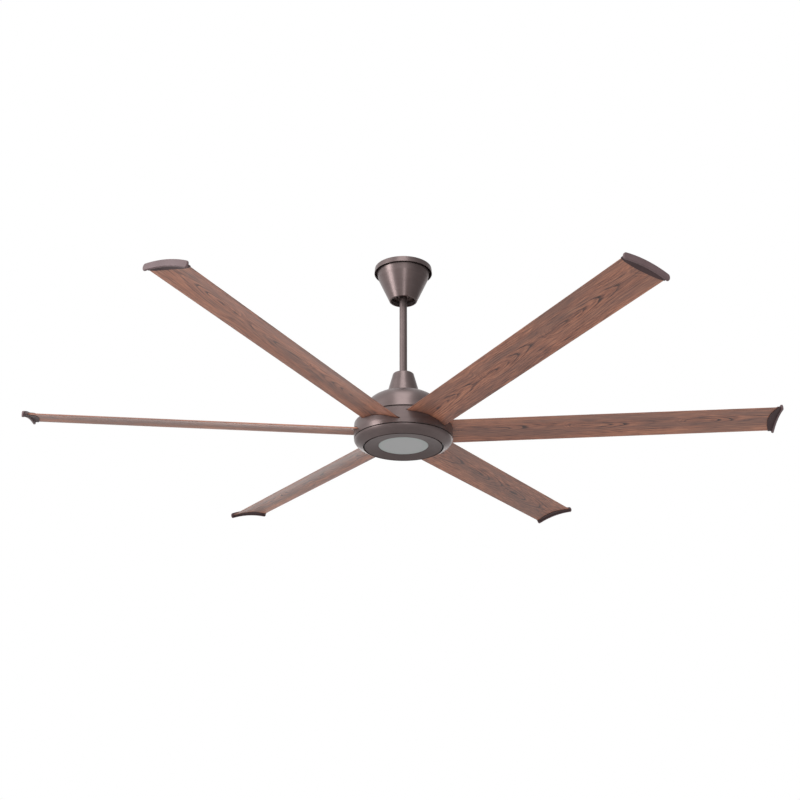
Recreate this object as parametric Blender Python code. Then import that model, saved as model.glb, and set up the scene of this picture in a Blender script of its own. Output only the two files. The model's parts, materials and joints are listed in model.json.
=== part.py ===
"""A ceiling fan: six pitched blades on a slotted hub, driven by an outer rotor on a
hollow shaft. A downrod hangs the hub by a ball in the ceiling bracket, and a flush
lamp closes the hub below. The origin is on the ceiling, above the hub, and +Z is up.
Every length is in metres and every angle in degrees."""

import math

import bmesh
import bpy
from mathutils import Matrix, Vector

# Fits
seat_gap = 0.0003
air_gap = 0.001
overrun = 0.002
weld = 0.000001

# Facets of turned pieces and arcs, largest pieces first
large_steps = 36
medium_steps = 24
small_steps = 20
pin_steps = 10
screw_steps = 8
shoulder_steps = 6
ball_steps = 8
bowl_steps = 4
arc_steps = 3
round_steps = 2
smooth_angle = 35

# Canopy: an upright rim, a leaning collar and a long cone down to the mouth
canopy_depth = 0.107
canopy_sheet = 0.0015
canopy_rim_radius = 0.077
canopy_rim_height = 0.0174
canopy_collar_height = 0.0161
canopy_cone_radius = 0.0731
canopy_mouth_radius = 0.0402
canopy_mouth_round = 0.0018
canopy_lip = 0.004

# Ring that hides the canopy screws
ring_top_radius = 0.0842
ring_radius = 0.0856
ring_height = 0.015
ring_sheet = 0.0014

# Screws of the canopy and the earth screw
small_screw_radius = 0.002
small_head_radius = 0.004
small_head_height = 0.0022
small_screw_end = 0.003
canopy_screw_depth = 0.009
earth_screw_room = 0.0165

# Hanger bracket: a bent strip and a round seat for the ball
bracket_sheet = 0.003
bracket_half_width = 0.015
bracket_side_room = 0.0005
ear_drop = 0.0155
leg_room = 0.0085
seat_hole_radius = 0.02
seat_slot_half_width = 0.0125
seat_rim = 0.0008
box_screw_spacing = 0.0889
box_slot_radius = 0.0028
box_slot_half_length = 0.006
wire_hole_radius = 0.0055
wire_hole_offset = 0.02

# Receiver of the remote control
receiver_half_length = 0.05
receiver_room = 0.004
receiver_wall = 0.0016
receiver_lid = 0.002

# Hanger ball and downrod
ball_radius = 0.027
ball_height_share = 0.815
ball_to_mouth = 0.037
tilt_limit = 15
tab_angles = (45, 58)
tab_depth = 0.0024
tab_overlap = 0.003
groove_half_width = 0.0035
groove_slack = 1
rod_radius = 0.011
rod_wall = 0.002
rod_length = 0.332
rod_proud = 0.0066
cross_pin_radius = 0.003
cross_pin_inset = 0.0015
set_screw_radius = 0.0025
set_screw_proud = 0.003
ball_set_screw_rise = 0.0125

# Coupling between downrod and motor shaft, under its cover
cover_height = 0.0633
cover_top_radius = 0.0297
cover_round = 0.002
cover_sheet = 0.0015
cover_head_room = 0.002
rod_insertion = 0.03
coupler_radius = 0.017
coupler_foot_height = 0.0045
coupler_nose_wall = 0.002
coupler_flange = 0.005
coupler_flange_width = 0.008
coupler_web = 0.03
clevis_pin_radius = 0.003
clevis_pin_proud = 0.006
clevis_head_radius = 0.005
clevis_head_height = 0.002
clip_width = 0.0025
clip_thickness = 0.0012
clip_opening = 70

# Upper housing: a shallow crown, a wide rounded shoulder and a leaning wall
neck_height = 0.1202
neck_radius = 0.047
housing_sheet = 0.002
crown_slope = 19
shoulder_round = 0.073
wall_slope = 74
housing_foot_inset = 0.0015
housing_foot_height = 0.0393

# Hub band with one slot for each blade
band_radius = 0.1406
band_crown = 0.001
band_crown_drop = 0.005
band_top = 0.0266
band_drop = 0.0178
band_wall = 0.003
shoulder_width = 0.0136
shoulder_rise = 0.0096
band_flange_width = 0.014
slot_side_room = 0.0016
slot_end_room = 0.0025

# Blades
blade_count = 6
blade_pitch = 11.33
blade_rise = 2.48
tip_radius = 1.067
blade_chord = 0.1222
blade_camber = 0.007
blade_thickness = 0.005
blade_edge = 0.0012
blade_shift = 0.0021
blade_root_radius = 0.058
blade_root_gap = 0.005
blade_steps = 6
cap_edge_steps = 4

# Caps on the blade tips
cap_bar = 0.006
cap_bar_height = 0.0175
cap_bar_drop = 0.0067
cap_bar_chamfer = 0.0015
cap_overhang = 0.0045
cap_sleeve = 0.0016
cap_depth = 0.028
cap_side_depth = 0.0155
cap_floor = 0.003

# Blade carrier, its saddles and the clamps that hold the blades to them
carrier_disc = 0.0069
carrier_seat = 0.01
carrier_bore_radius = 0.023
saddle_root_inset = 0.004
saddle_end_room = 0.0226
saddle_half_width = 0.028
clamp_plate = 0.002
clamp_inset = 0.008
clamp_end_inset = 0.006
clamp_half_width = 0.025
blade_screw_radius = 0.0025
blade_head_radius = 0.0045
blade_head_height = 0.0025
blade_screw_grip = 0.006
blade_screw_length_shares = (0.2, 0.75, 0.75)
blade_screw_width_shares = (0, -0.66, 0.66)

# Motor
motor_side_room = 0.0382
motor_head_room = 0.026
rotor_wall = 0.004
rotor_lip = 0.0017
rotor_lip_width = 0.006
rotor_round = 0.003
bearing_radius = 0.02
bearing_width = 0.012
bearing_ball_radius = 0.0034
bearing_land = 0.00225
bearing_balls = 7
cage_half_width = 0.001
cage_half_height = 0.0012
bearing_boss_wall = 0.0047
shaft_radius = 0.0085
shaft_bore_radius = 0.0055
shaft_seat_radius = 0.011
shaft_thread_radius = 0.0072
magnet_thickness = 0.0047
magnet_margin = 0.009
stator_margin = 0.015
stator_teeth = 12
yoke_radius = 0.034
tooth_half_width = 0.005
tooth_tip_depth = 0.006
tooth_gap_share = 0.16
winding_height = 0.0075
winding_inset = 0.0055
winding_half_width = 0.0065

# Lower housing and lamp
seam_gap = 0.0025
bowl_rim_inset = 0.001
bowl_depth = 0.0214
bowl_corner_shares = (0.097, 0.364)
bowl_round = 0.02
bowl_floor_inset = 0.0261
bowl_sheet = 0.002
ledge_width = 0.008
plate_recess = 0.0017
plate_thickness = 0.002
nut_radius = 0.0125
nut_sides = 6
nut_height = 0.005
shaft_end_proud = 0.001
driver_half_length = 0.032
driver_half_width = 0.016
driver_height = 0.008
driver_offset = 0.058
driver_round = 0.0015
sink_thickness = 0.002
sink_bore_radius = 0.02
board_thickness = 0.0015
board_radius = 0.064
chip_half_size = 0.0025
chip_height = 0.001
chip_ring_radius = 0.045
chip_count = 12
groove_width = 0.004
trim_sheet = 0.0015
trim_dish = 0.0042
trim_round = 0.0012
lens_opening_radius = 0.0705
lens_border = 0.001
lens_seat = 0.004
lens_thickness = 0.002
lens_recess = 0.0006

# Finishes: colour, roughness and metallic value
finishes = {
    "bronze": ((0.13, 0.1, 0.095), 0.42, 0.85),
    "steel": ((0.55, 0.55, 0.56), 0.35, 1.0),
    "zinc": ((0.62, 0.62, 0.6), 0.45, 0.9),
    "aluminium": ((0.68, 0.69, 0.7), 0.4, 0.9),
    "laminations": ((0.3, 0.3, 0.32), 0.5, 0.8),
    "copper": ((0.6, 0.28, 0.12), 0.35, 0.9),
    "magnet": ((0.08, 0.08, 0.09), 0.5, 0.5),
    "plastic": ((0.82, 0.82, 0.8), 0.5, 0.0),
    "board": ((0.85, 0.86, 0.84), 0.5, 0.0),
    "wood": ((0.2, 0.085, 0.06), 0.4, 0.0),
    "cap": ((0.08, 0.055, 0.055), 0.45, 0.1),
    "lens": ((0.42, 0.46, 0.43), 0.35, 0.0),
}


# Heights, radii and places that several pieces share. Those below the coupling
# are measured from the blade plane, those at the ball from its centre.
ball_depth = canopy_depth - ball_to_mouth
ball_half_height = ball_radius * ball_height_share
rod_top = ball_half_height + rod_proud
cover_top = neck_height + cover_height
coupler_top = cover_top - cover_sheet - cover_head_room
rod_end = coupler_top - rod_insertion
hub_drop = rod_length - rod_top + rod_end
pin_height = (coupler_top + rod_end) / 2

canopy_bore = canopy_rim_radius - canopy_sheet
bracket_reach = math.sqrt(canopy_bore**2 - bracket_half_width**2) - bracket_side_room
leg_inner = ball_radius + leg_room
leg_outer = leg_inner + bracket_sheet
seat_flat = seat_hole_radius * math.cos(math.pi / small_steps)
seat_top = -math.sqrt((ball_radius + seat_gap) ** 2 - seat_flat**2) - ball_depth
seat_radius = math.hypot(leg_outer, bracket_half_width) + seat_rim
earth_screw_place = leg_outer + earth_screw_room
receiver_top = -bracket_sheet - seat_gap
receiver_bottom = math.hypot(rod_top, rod_radius) + receiver_room - ball_depth
receiver_half_width = leg_inner - seat_gap

shoulder_top = band_top + shoulder_rise
shoulder_radius = band_radius - band_crown - shoulder_width
band_flange_radius = shoulder_radius - band_flange_width
band_bore = band_radius - band_crown - band_wall
housing_foot_radius = shoulder_radius - housing_foot_inset
carrier_top = shoulder_top - band_wall - seat_gap
carrier_bottom = carrier_top - carrier_disc
carrier_radius = band_flange_radius + carrier_seat
saddle_start = blade_root_radius + saddle_root_inset
saddle_end = band_bore - saddle_end_room
clamp_start = blade_root_radius + clamp_inset
clamp_length = saddle_end - clamp_end_inset - clamp_start

rotor_bottom = carrier_top + seat_gap
rotor_top = neck_height - motor_head_room
rotor_middle = (rotor_top + rotor_bottom) / 2
rotor_radius = housing_foot_radius - motor_side_room
lower_bearing = rotor_bottom + rotor_lip + seat_gap
upper_bearing = rotor_top - rotor_lip - seat_gap - bearing_width
bearing_pitch = (shaft_radius + bearing_radius) / 2
boss_bore = bearing_radius + seat_gap
boss_radius = boss_bore + bearing_boss_wall
magnet_radius = rotor_radius - rotor_wall - seat_gap
stator_radius = magnet_radius - magnet_thickness - air_gap
stator_bottom = rotor_bottom + rotor_lip + stator_margin
stator_top = rotor_top - rotor_lip - stator_margin

bowl_rim = -(band_drop + seam_gap)
bowl_rim_radius = band_radius - bowl_rim_inset
bowl_foot_radius = bowl_rim_radius - bowl_floor_inset
bowl_bottom = bowl_rim - bowl_depth
plate_top = bowl_rim - plate_recess
plate_bottom = plate_top - plate_thickness
ledge_top = plate_bottom - seat_gap
ledge_bottom = ledge_top - bowl_sheet
nut_bottom = plate_bottom - seat_gap - nut_height
shaft_bottom = nut_bottom - shaft_end_proud
sink_top = ledge_bottom - seat_gap
sink_bottom = sink_top - sink_thickness
board_top = sink_bottom - seat_gap
trim_radius = bowl_foot_radius - groove_width
lens_edge = bowl_bottom + trim_dish

half_chord = blade_chord / 2
half_thickness = blade_thickness / 2
camber_radius = (half_chord**2 + blade_camber**2) / (2 * blade_camber)
tip_along = tip_radius / math.cos(math.radians(blade_rise))
blade_end = tip_along - cap_floor - seat_gap


# Outlines


def arc(centre, radius, start, end, steps=arc_steps):
    """Points on an arc, its angles in degrees from the first axis."""
    angles = [math.radians(start + (end - start) * step / steps) for step in range(steps + 1)]
    return [(centre[0] + radius * math.cos(a), centre[1] + radius * math.sin(a)) for a in angles]


def fillet(before, corner, after, radius, steps):
    """The arc that rounds a corner of an outline, no longer than its sides allow."""
    start = (Vector(before) - Vector(corner)).normalized()
    end = (Vector(after) - Vector(corner)).normalized()
    half = start.angle(end) / 2
    reach = min(radius / math.tan(half), math.dist(before, corner), math.dist(after, corner))
    size = reach * math.tan(half)
    middle, across = (start + end).normalized(), (end - start).normalized()
    centre = Vector(corner) + middle * size / math.sin(half)
    turn = math.pi - 2 * half
    angles = [turn * (step / steps - 1 / 2) for step in range(steps + 1)]
    return [tuple(centre + size * (math.sin(a) * across - math.cos(a) * middle)) for a in angles]


def crossing(start, start_slope, end, end_slope):
    """Where the line that falls from start meets the line that falls into end.
    Slopes are in degrees below level outwards, so one that falls inwards is negative."""
    fall, last_fall = math.tan(math.radians(start_slope)), math.tan(math.radians(end_slope))
    radius = (start[1] - end[1] + fall * start[0] - last_fall * end[0]) / (fall - last_fall)
    return radius, start[1] - fall * (radius - start[0])


def squared(end, before, outer):
    """Slides the end of an inner side level with the outer end, or upright in line
    with it where the wall runs flatter."""
    run, rise = end[0] - before[0], end[1] - before[1]
    if abs(rise) > abs(run):
        return end[0] + run * (outer[1] - end[1]) / rise, outer[1]
    return outer[0], end[1] + rise * (outer[0] - end[0]) / run


def inner_side(path, thickness):
    """The path at this distance to the right of an open path, with mitred corners."""
    directions = [(Vector(b) - Vector(a)).normalized() for a, b in zip(path, path[1:])]
    inner = []
    for point, arriving, leaving in zip(path, directions[:1] + directions, directions + directions[-1:]):
        mean = (arriving + leaving).normalized()
        mitre = thickness / mean.dot(leaving)
        inner.append((point[0] + mean.y * mitre, point[1] - mean.x * mitre))
    inner[0] = squared(inner[0], inner[1], path[0])
    inner[-1] = squared(inner[-1], inner[-2], path[-1])
    return inner


def shell(path, thickness):
    """The closed outline of a wall of even thickness to the right of a path."""
    return path + inner_side(path, thickness)[::-1]


def radius_at(path, height):
    """The radius of a falling path at a height."""
    for (start, top), (end, bottom) in zip(path, path[1:]):
        if top >= height > bottom:
            return start + (end - start) * (top - height) / (top - bottom)
    return path[-1][0]


def box_outline(radius, bore, top, bottom):
    """The outline of a plain ring."""
    return [(bore, top), (radius, top), (radius, bottom), (bore, bottom)]


# Solids in a mesh under construction


def add_loft(bm, loops):
    """A closed body through loops of as many points each, closed by flat ends."""
    rings = [[bm.verts.new(point) for point in loop] for loop in loops]
    for ring, following in zip(rings, rings[1:]):
        for index in range(len(ring)):
            bm.faces.new((ring[index - 1], ring[index], following[index], following[index - 1]))
    bm.faces.new(rings[0])
    bm.faces.new(rings[-1])


def add_prism(bm, outline, low, high, order=(0, 1, 2)):
    """A flat outline drawn out from low to high. order names the axes of the outline's
    two values and of the height."""
    add_loft(bm, [[placed((a, b, c), order) for a, b in outline] for c in (low, high)])


def placed(values, order):
    """The point whose values belong to the axes in this order."""
    point = [0, 0, 0]
    for value, axis in zip(values, order):
        point[axis] = value
    return point


def add_turned(bm, outline, steps, centre=(0, 0)):
    """A closed outline of radii and heights, turned about an upright axis."""
    verts = [bm.verts.new((centre[0] + radius, centre[1], height)) for radius, height in outline]
    edges = [bm.edges.new(pair) for pair in zip(verts, verts[1:] + verts[:1])]
    bmesh.ops.spin(bm, geom=verts + edges, cent=(*centre, 0), axis=(0, 0, 1),
                   angle=math.tau, steps=steps, use_merge=True)


def add_pin(bm, radius, start, end, steps=pin_steps):
    """A round pin between two points."""
    start, end = Vector(start), Vector(end)
    turn = (end - start).to_track_quat("Z", "Y").to_matrix().to_4x4()
    bmesh.ops.create_cone(bm, cap_ends=True, segments=steps, radius1=radius, radius2=radius,
                          depth=(end - start).length, matrix=Matrix.Translation((start + end) / 2) @ turn)


def add_box(bm, low, high):
    """A block between two corners."""
    outline = [(low[0], low[1]), (high[0], low[1]), (high[0], high[1]), (low[0], high[1])]
    add_prism(bm, outline, low[2], high[2])


def add_star(bm, bore, hub, reach, half_width, low, high, rim=0):
    """A ring with one arm for each tooth, and with a shoe on each arm where rim is given."""
    spread = math.asin(half_width / hub)
    shoe = math.pi / stator_teeth * (1 - tooth_gap_share)
    side = math.pi / stator_teeth * 2 - spread
    for tooth in range(stator_teeth):
        turn = math.tau * tooth / stator_teeth
        arm = [(reach, half_width), (reach, -half_width)]
        root = [around(hub, spread), around(hub, -spread)]
        faces = [[around(bore, -spread), around(bore, spread), *root]]
        faces.append([around(bore, spread), around(bore, side), around(hub, side), around(hub, spread)])
        faces.append(root[::-1] + arm)
        if rim:
            sweep = [shoe * (step / arc_steps * 2 - 1) for step in range(arc_steps + 1)]
            shoe_face = [around(rim, angle) for angle in sweep]
            faces.append(arm + [around(reach, -shoe), *shoe_face, around(reach, shoe)])
        for face in faces:
            corners = [Matrix.Rotation(turn, 3, "Z") @ Vector((*corner, low)) for corner in face]
            bm.faces.new([bm.verts.new(corner) for corner in corners])
    bmesh.ops.remove_doubles(bm, verts=bm.verts, dist=weld)
    drawn = bmesh.ops.extrude_face_region(bm, geom=bm.faces[:])["geom"]
    bmesh.ops.translate(bm, vec=(0, 0, high - low),
                        verts=[item for item in drawn if isinstance(item, bmesh.types.BMVert)])


def around(radius, angle):
    """A point at this radius and this angle in radians."""
    return radius * math.cos(angle), radius * math.sin(angle)


# Objects


def mesh_from(name, bm):
    """A finished mesh with its faces pointing out."""
    bmesh.ops.remove_doubles(bm, verts=bm.verts, dist=weld)
    bmesh.ops.recalc_face_normals(bm, faces=bm.faces)
    mesh = bpy.data.meshes.new(name)
    bm.to_mesh(mesh)
    bm.free()
    mesh.shade_smooth()
    mesh.set_sharp_from_angle(angle=math.radians(smooth_angle))
    return mesh


def axis_at(name, height, parent=None):
    """An empty on a joint's axis, this far above its parent."""
    empty = bpy.data.objects.new(name, None)
    empty.location.z = height
    empty.parent = parent
    bpy.context.scene.collection.objects.link(empty)
    return empty


def piece(name, bm, finish, parent=None, rotation=(0, 0, 0)):
    """One sub-part with a material of its own."""
    part = bpy.data.objects.new(name, mesh_from(name, bm))
    part.parent = parent
    part.rotation_euler = rotation
    bpy.context.scene.collection.objects.link(part)
    colour, roughness, metallic = finishes[finish]
    look = bpy.data.materials.new(name)
    look.use_nodes = True
    shader = look.node_tree.nodes["Principled BSDF"]
    shader.inputs["Base Color"].default_value = (*colour, 1)
    shader.inputs["Roughness"].default_value = roughness
    shader.inputs["Metallic"].default_value = metallic
    part.data.materials.append(look)
    return part


def combine(part, bm, operation):
    """Cuts a mesh from a piece or joins one to it, in the piece's own frame."""
    tool = bpy.data.objects.new(part.name + "_tool", mesh_from(part.name + "_tool", bm))
    tool.parent = part.parent
    tool.rotation_euler = part.rotation_euler
    tool.hide_render = True
    tool.display_type = "WIRE"
    bpy.context.scene.collection.objects.link(tool)
    change = part.modifiers.new(operation.title(), "BOOLEAN")
    change.operation = operation
    change.object = tool


def turned(name, outline, steps, finish, parent=None):
    """A piece turned about its parent's upright axis."""
    bm = bmesh.new()
    add_turned(bm, outline, steps)
    return piece(name, bm, finish, parent)


# Ceiling mount


def hanger_bracket():
    half = [(bracket_reach, 0), (bracket_reach, -ear_drop), (bracket_reach - bracket_sheet, -ear_drop),
            (bracket_reach - bracket_sheet, -bracket_sheet), (leg_outer, -bracket_sheet),
            (leg_outer, seat_top - bracket_sheet / 2), (leg_inner, seat_top - bracket_sheet / 2),
            (leg_inner, -bracket_sheet)]
    strip_outline = half + [(-x, z) for x, z in reversed(half)]
    bm = bmesh.new()
    add_prism(bm, strip_outline, -bracket_half_width, bracket_half_width, (0, 2, 1))
    bracket = piece("hanger_bracket", bm, "zinc")

    seat = bmesh.new()
    ring = box_outline(seat_radius, seat_hole_radius, seat_top, seat_top - bracket_sheet)
    add_turned(seat, ring, small_steps)
    combine(bracket, seat, "UNION")

    tab = bmesh.new()
    low, high = (angle - 90 for angle in tab_angles)
    tab_radius = ball_radius - tab_depth
    section = arc((0, -ball_depth), tab_radius, low, high)
    section += arc((0, -ball_depth), ball_radius + tab_overlap, high, low)
    tab_half_width = groove_half_width - seat_gap
    add_prism(tab, section, -tab_half_width, tab_half_width, (1, 2, 0))
    combine(bracket, tab, "UNION")

    holes = bmesh.new()
    below = seat_top - bracket_sheet - overrun
    add_box(holes, (-seat_slot_half_width, -seat_radius - overrun, below),
            (seat_slot_half_width, 0, seat_top + overrun))
    for side in (-1, 1):
        slot = [(side * box_screw_spacing / 2 + x, y + box_slot_half_length)
                for x, y in arc((0, 0), box_slot_radius, 0, 180)]
        slot += [(side * box_screw_spacing / 2 + x, y - box_slot_half_length)
                 for x, y in arc((0, 0), box_slot_radius, 180, 360)]
        add_prism(holes, slot, -bracket_sheet - overrun, overrun)
        ear = (side * (bracket_reach - bracket_sheet - overrun), 0, -canopy_screw_depth)
        add_pin(holes, small_screw_radius + seat_gap, ear,
                (side * (bracket_reach + overrun), 0, -canopy_screw_depth), screw_steps)
    add_pin(holes, wire_hole_radius, (wire_hole_offset, 0, -bracket_sheet - overrun),
            (wire_hole_offset, 0, overrun))
    add_pin(holes, small_screw_radius + seat_gap, (earth_screw_place, 0, -bracket_sheet - overrun),
            (earth_screw_place, 0, overrun), screw_steps)
    combine(bracket, holes, "DIFFERENCE")


def canopy():
    bottom = (canopy_mouth_radius, -canopy_depth)
    collar_end = (canopy_cone_radius, -canopy_rim_height - canopy_collar_height)
    mouth = (canopy_mouth_radius - canopy_lip, -canopy_depth)
    path = [(canopy_rim_radius, 0), (canopy_rim_radius, -canopy_rim_height), collar_end,
            *fillet(collar_end, bottom, mouth, canopy_mouth_round, round_steps), mouth]
    shade = turned("canopy", shell(path, canopy_sheet), large_steps, "bronze")
    holes = bmesh.new()
    for side in (-1, 1):
        add_pin(holes, small_screw_radius + seat_gap,
                (side * (canopy_bore - overrun), 0, -canopy_screw_depth),
                (side * (canopy_rim_radius + overrun), 0, -canopy_screw_depth), screw_steps)
    combine(shade, holes, "DIFFERENCE")


def canopy_ring():
    path = [(canopy_rim_radius + seat_gap, 0), (ring_top_radius, 0), (ring_radius, -ring_height)]
    turned("canopy_ring", shell(path, ring_sheet), large_steps, "bronze")


def screw_mesh(seat, tip, radius, head_radius, head_height, steps=screw_steps):
    """A round-headed screw that stands upright, with its head below the seat."""
    bm = bmesh.new()
    outline = [(0, tip), (radius, tip), (radius, seat), (head_radius, seat),
               (head_radius, seat - head_height), (0, seat - head_height)]
    add_turned(bm, outline, steps)
    return bm


def canopy_screws():
    head_seat = canopy_rim_radius + seat_gap
    tip = bracket_reach - bracket_sheet - small_screw_end
    for side, name in ((-1, "canopy_screw_left"), (1, "canopy_screw_right")):
        bm = screw_mesh(-head_seat, -tip, small_screw_radius, small_head_radius, small_head_height,
                        pin_steps)
        turn = Matrix.Rotation(-side * math.pi / 2, 3, "Y")
        bmesh.ops.rotate(bm, verts=bm.verts, cent=(0, 0, 0), matrix=turn)
        bmesh.ops.translate(bm, verts=bm.verts, vec=(0, 0, -canopy_screw_depth))
        piece(name, bm, "steel")


def ground_screw():
    bm = screw_mesh(-bracket_sheet - seat_gap, -seat_gap, small_screw_radius, small_head_radius,
                    small_head_height)
    bmesh.ops.translate(bm, verts=bm.verts, vec=(earth_screw_place, 0, 0))
    piece("ground_screw", bm, "copper")


def receiver():
    lid_bottom = receiver_top - receiver_lid
    case_top = lid_bottom - seat_gap
    case = bmesh.new()
    corner = (receiver_half_width, receiver_half_length)
    add_box(case, (-corner[0], -corner[1], receiver_bottom), (*corner, case_top))
    body = piece("receiver_case", case, "plastic")
    room = bmesh.new()
    inner = [size - receiver_wall for size in corner]
    add_box(room, (-inner[0], -inner[1], receiver_bottom + receiver_wall), (*inner, case_top + overrun))
    combine(body, room, "DIFFERENCE")

    lid = bmesh.new()
    add_box(lid, (-corner[0], -corner[1], lid_bottom), (*corner, receiver_top))
    cover = piece("receiver_cover", lid, "plastic")
    plug = bmesh.new()
    lip = [size - seat_gap for size in inner]
    add_box(plug, (-lip[0], -lip[1], case_top - receiver_wall), (*lip, lid_bottom + receiver_lid / 2))
    combine(cover, plug, "UNION")


# Hanger ball and downrod, measured from the ball's centre


def hanger_ball(parent):
    edge = math.degrees(math.asin(ball_height_share))
    bore = rod_radius + seat_gap
    outline = [(bore, ball_half_height), *arc((0, 0), ball_radius, edge, -edge, ball_steps),
               (bore, -ball_half_height)]
    ball = turned("hanger_ball", outline, small_steps, "zinc", parent)
    cuts = bmesh.new()
    low = tab_angles[0] - tilt_limit - groove_slack - 90
    high = tab_angles[1] + tilt_limit + groove_slack - 90
    floor = ball_radius - tab_depth - seat_gap
    section = arc((0, 0), floor, low, high) + arc((0, 0), ball_radius + overrun, high, low)
    add_prism(cuts, section, -groove_half_width, groove_half_width, (1, 2, 0))
    reach = ball_radius + overrun
    add_pin(cuts, cross_pin_radius + seat_gap, (-reach, 0, 0), (reach, 0, 0))
    combine(ball, cuts, "DIFFERENCE")
    screw_hole = bmesh.new()
    add_pin(screw_hole, set_screw_radius + seat_gap, (0, 0, ball_set_screw_rise),
            (0, -reach, ball_set_screw_rise))
    combine(ball, screw_hole, "DIFFERENCE")


def downrod(parent):
    length_end = rod_top - rod_length
    outline = box_outline(rod_radius, rod_radius - rod_wall, rod_top, length_end)
    rod = turned("downrod", outline, small_steps, "bronze", parent)
    holes = bmesh.new()
    reach = rod_radius + overrun
    height = pin_height - hub_drop
    add_pin(holes, cross_pin_radius + seat_gap, (-reach, 0, 0), (reach, 0, 0))
    add_pin(holes, clevis_pin_radius + seat_gap, (0, -reach, height), (0, reach, height))
    combine(rod, holes, "DIFFERENCE")


def ball_fasteners(parent):
    pin = bmesh.new()
    reach = ball_radius - cross_pin_inset
    add_pin(pin, cross_pin_radius, (-reach, 0, 0), (reach, 0, 0))
    piece("ball_cross_pin", pin, "steel", parent)
    screw = bmesh.new()
    surface = math.sqrt(ball_radius**2 - ball_set_screw_rise**2)
    add_pin(screw, set_screw_radius, (0, -rod_radius - seat_gap, ball_set_screw_rise),
            (0, -surface - set_screw_proud, ball_set_screw_rise))
    piece("ball_set_screw", screw, "steel", parent)


# Coupling, measured from the blade plane like all that follows


def coupling_cover(parent):
    foot = (neck_radius, neck_height + seat_gap)
    top = (rod_radius + seat_gap, cover_top)
    corner = (cover_top_radius, cover_top)
    path = [top, *fillet(top, corner, foot, cover_round, round_steps), foot]
    turned("coupling_cover", shell(path, cover_sheet), large_steps, "bronze", parent)


def coupler(parent):
    flange_top = neck_height - housing_sheet - seat_gap
    flange_bottom = flange_top - coupler_flange
    flange_radius = coupler_radius + coupler_flange_width
    foot = rotor_top + coupler_foot_height
    nose = rotor_top - rotor_lip
    shaft_bore = shaft_radius + seat_gap
    nose_radius = shaft_bore + coupler_nose_wall
    rod_bore = rod_radius + seat_gap
    floor = rod_end - seat_gap
    web_bottom = rod_end - coupler_web
    outline = [(rod_bore, coupler_top), (coupler_radius, coupler_top), (coupler_radius, flange_top),
               (flange_radius, flange_top), (flange_radius, flange_bottom), (coupler_radius, flange_bottom),
               (coupler_radius, foot), (nose_radius, foot), (nose_radius, nose), (shaft_bore, nose),
               (shaft_bore, web_bottom), (shaft_bore_radius, web_bottom), (shaft_bore_radius, floor),
               (rod_bore, floor)]
    body = turned("coupler", outline, small_steps, "zinc", parent)
    holes = bmesh.new()
    reach = coupler_radius + overrun
    add_pin(holes, clevis_pin_radius + seat_gap, (0, -reach, pin_height), (0, reach, pin_height))
    combine(body, holes, "DIFFERENCE")
    screw_holes = bmesh.new()
    add_pin(screw_holes, set_screw_radius + seat_gap, (-reach, 0, pin_height), (reach, 0, pin_height))
    combine(body, screw_holes, "DIFFERENCE")


def coupler_fasteners(parent):
    reach = coupler_radius + clevis_pin_proud
    pin = bmesh.new()
    add_pin(pin, clevis_pin_radius, (0, -coupler_radius, pin_height), (0, reach, pin_height))
    clevis = piece("clevis_pin", pin, "steel", parent)
    head = bmesh.new()
    head_seat = -coupler_radius - seat_gap
    head_face = head_seat - clevis_head_height
    add_pin(head, clevis_head_radius, (0, head_face, pin_height), (0, head_seat, pin_height))
    neck = (0, head_seat - clevis_head_height / 2, pin_height)
    combine(clevis, head, "UNION")
    joint = bmesh.new()
    add_pin(joint, clevis_pin_radius, neck, (0, 0, pin_height))
    combine(clevis, joint, "UNION")

    clip = bmesh.new()
    bore = clevis_pin_radius + seat_gap
    start, end = clip_opening / 2 - 90, 270 - clip_opening / 2
    section = arc((0, pin_height), bore, start, end, screw_steps)
    section += arc((0, pin_height), bore + clip_width, end, start, screw_steps)
    place = coupler_radius + seat_gap
    add_prism(clip, section, place, place + clip_thickness, (0, 2, 1))
    piece("clevis_clip", clip, "steel", parent)

    for side, name in ((-1, "coupler_set_screw_left"), (1, "coupler_set_screw_right")):
        screw = bmesh.new()
        add_pin(screw, set_screw_radius, (side * (rod_radius + seat_gap), 0, pin_height),
                (side * (coupler_radius + set_screw_proud), 0, pin_height))
        piece(name, screw, "steel", parent)


# Upper housing and motor


def upper_housing(parent):
    hole = (coupler_radius + seat_gap, neck_height)
    neck = (neck_radius, neck_height)
    foot = (housing_foot_radius, housing_foot_height)
    shoulder = crossing(neck, crown_slope, foot, wall_slope)
    path = [hole, neck, *fillet(neck, shoulder, foot, shoulder_round, shoulder_steps), foot]
    turned("upper_housing", shell(path, housing_sheet), large_steps, "bronze", parent)


def motor_shaft(parent):
    top = rod_end - coupler_web - seat_gap
    shoulder = plate_top + seat_gap
    lower_seat = lower_bearing + bearing_width + seat_gap
    upper_seat = upper_bearing - seat_gap
    outline = [(shaft_bore_radius, top), (shaft_radius, top), (shaft_radius, upper_seat),
               (shaft_seat_radius, upper_seat), (shaft_seat_radius, lower_seat),
               (shaft_radius, lower_seat), (shaft_radius, shoulder), (shaft_thread_radius, shoulder),
               (shaft_thread_radius, shaft_bottom), (shaft_bore_radius, shaft_bottom)]
    turned("motor_shaft", outline, small_steps, "steel", parent)


def stator(parent):
    reach = stator_radius - tooth_tip_depth
    core = bmesh.new()
    add_star(core, shaft_seat_radius + seat_gap, yoke_radius, reach, tooth_half_width,
             stator_bottom, stator_top, stator_radius)
    piece("stator_core", core, "laminations", parent)
    bore = yoke_radius - winding_inset
    for name, low in (("stator_winding_upper", stator_top + seat_gap),
                      ("stator_winding_lower", stator_bottom - seat_gap - winding_height)):
        coils = bmesh.new()
        add_star(coils, bore, yoke_radius, reach, winding_half_width, low, low + winding_height)
        piece(name, coils, "copper", parent)


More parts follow.
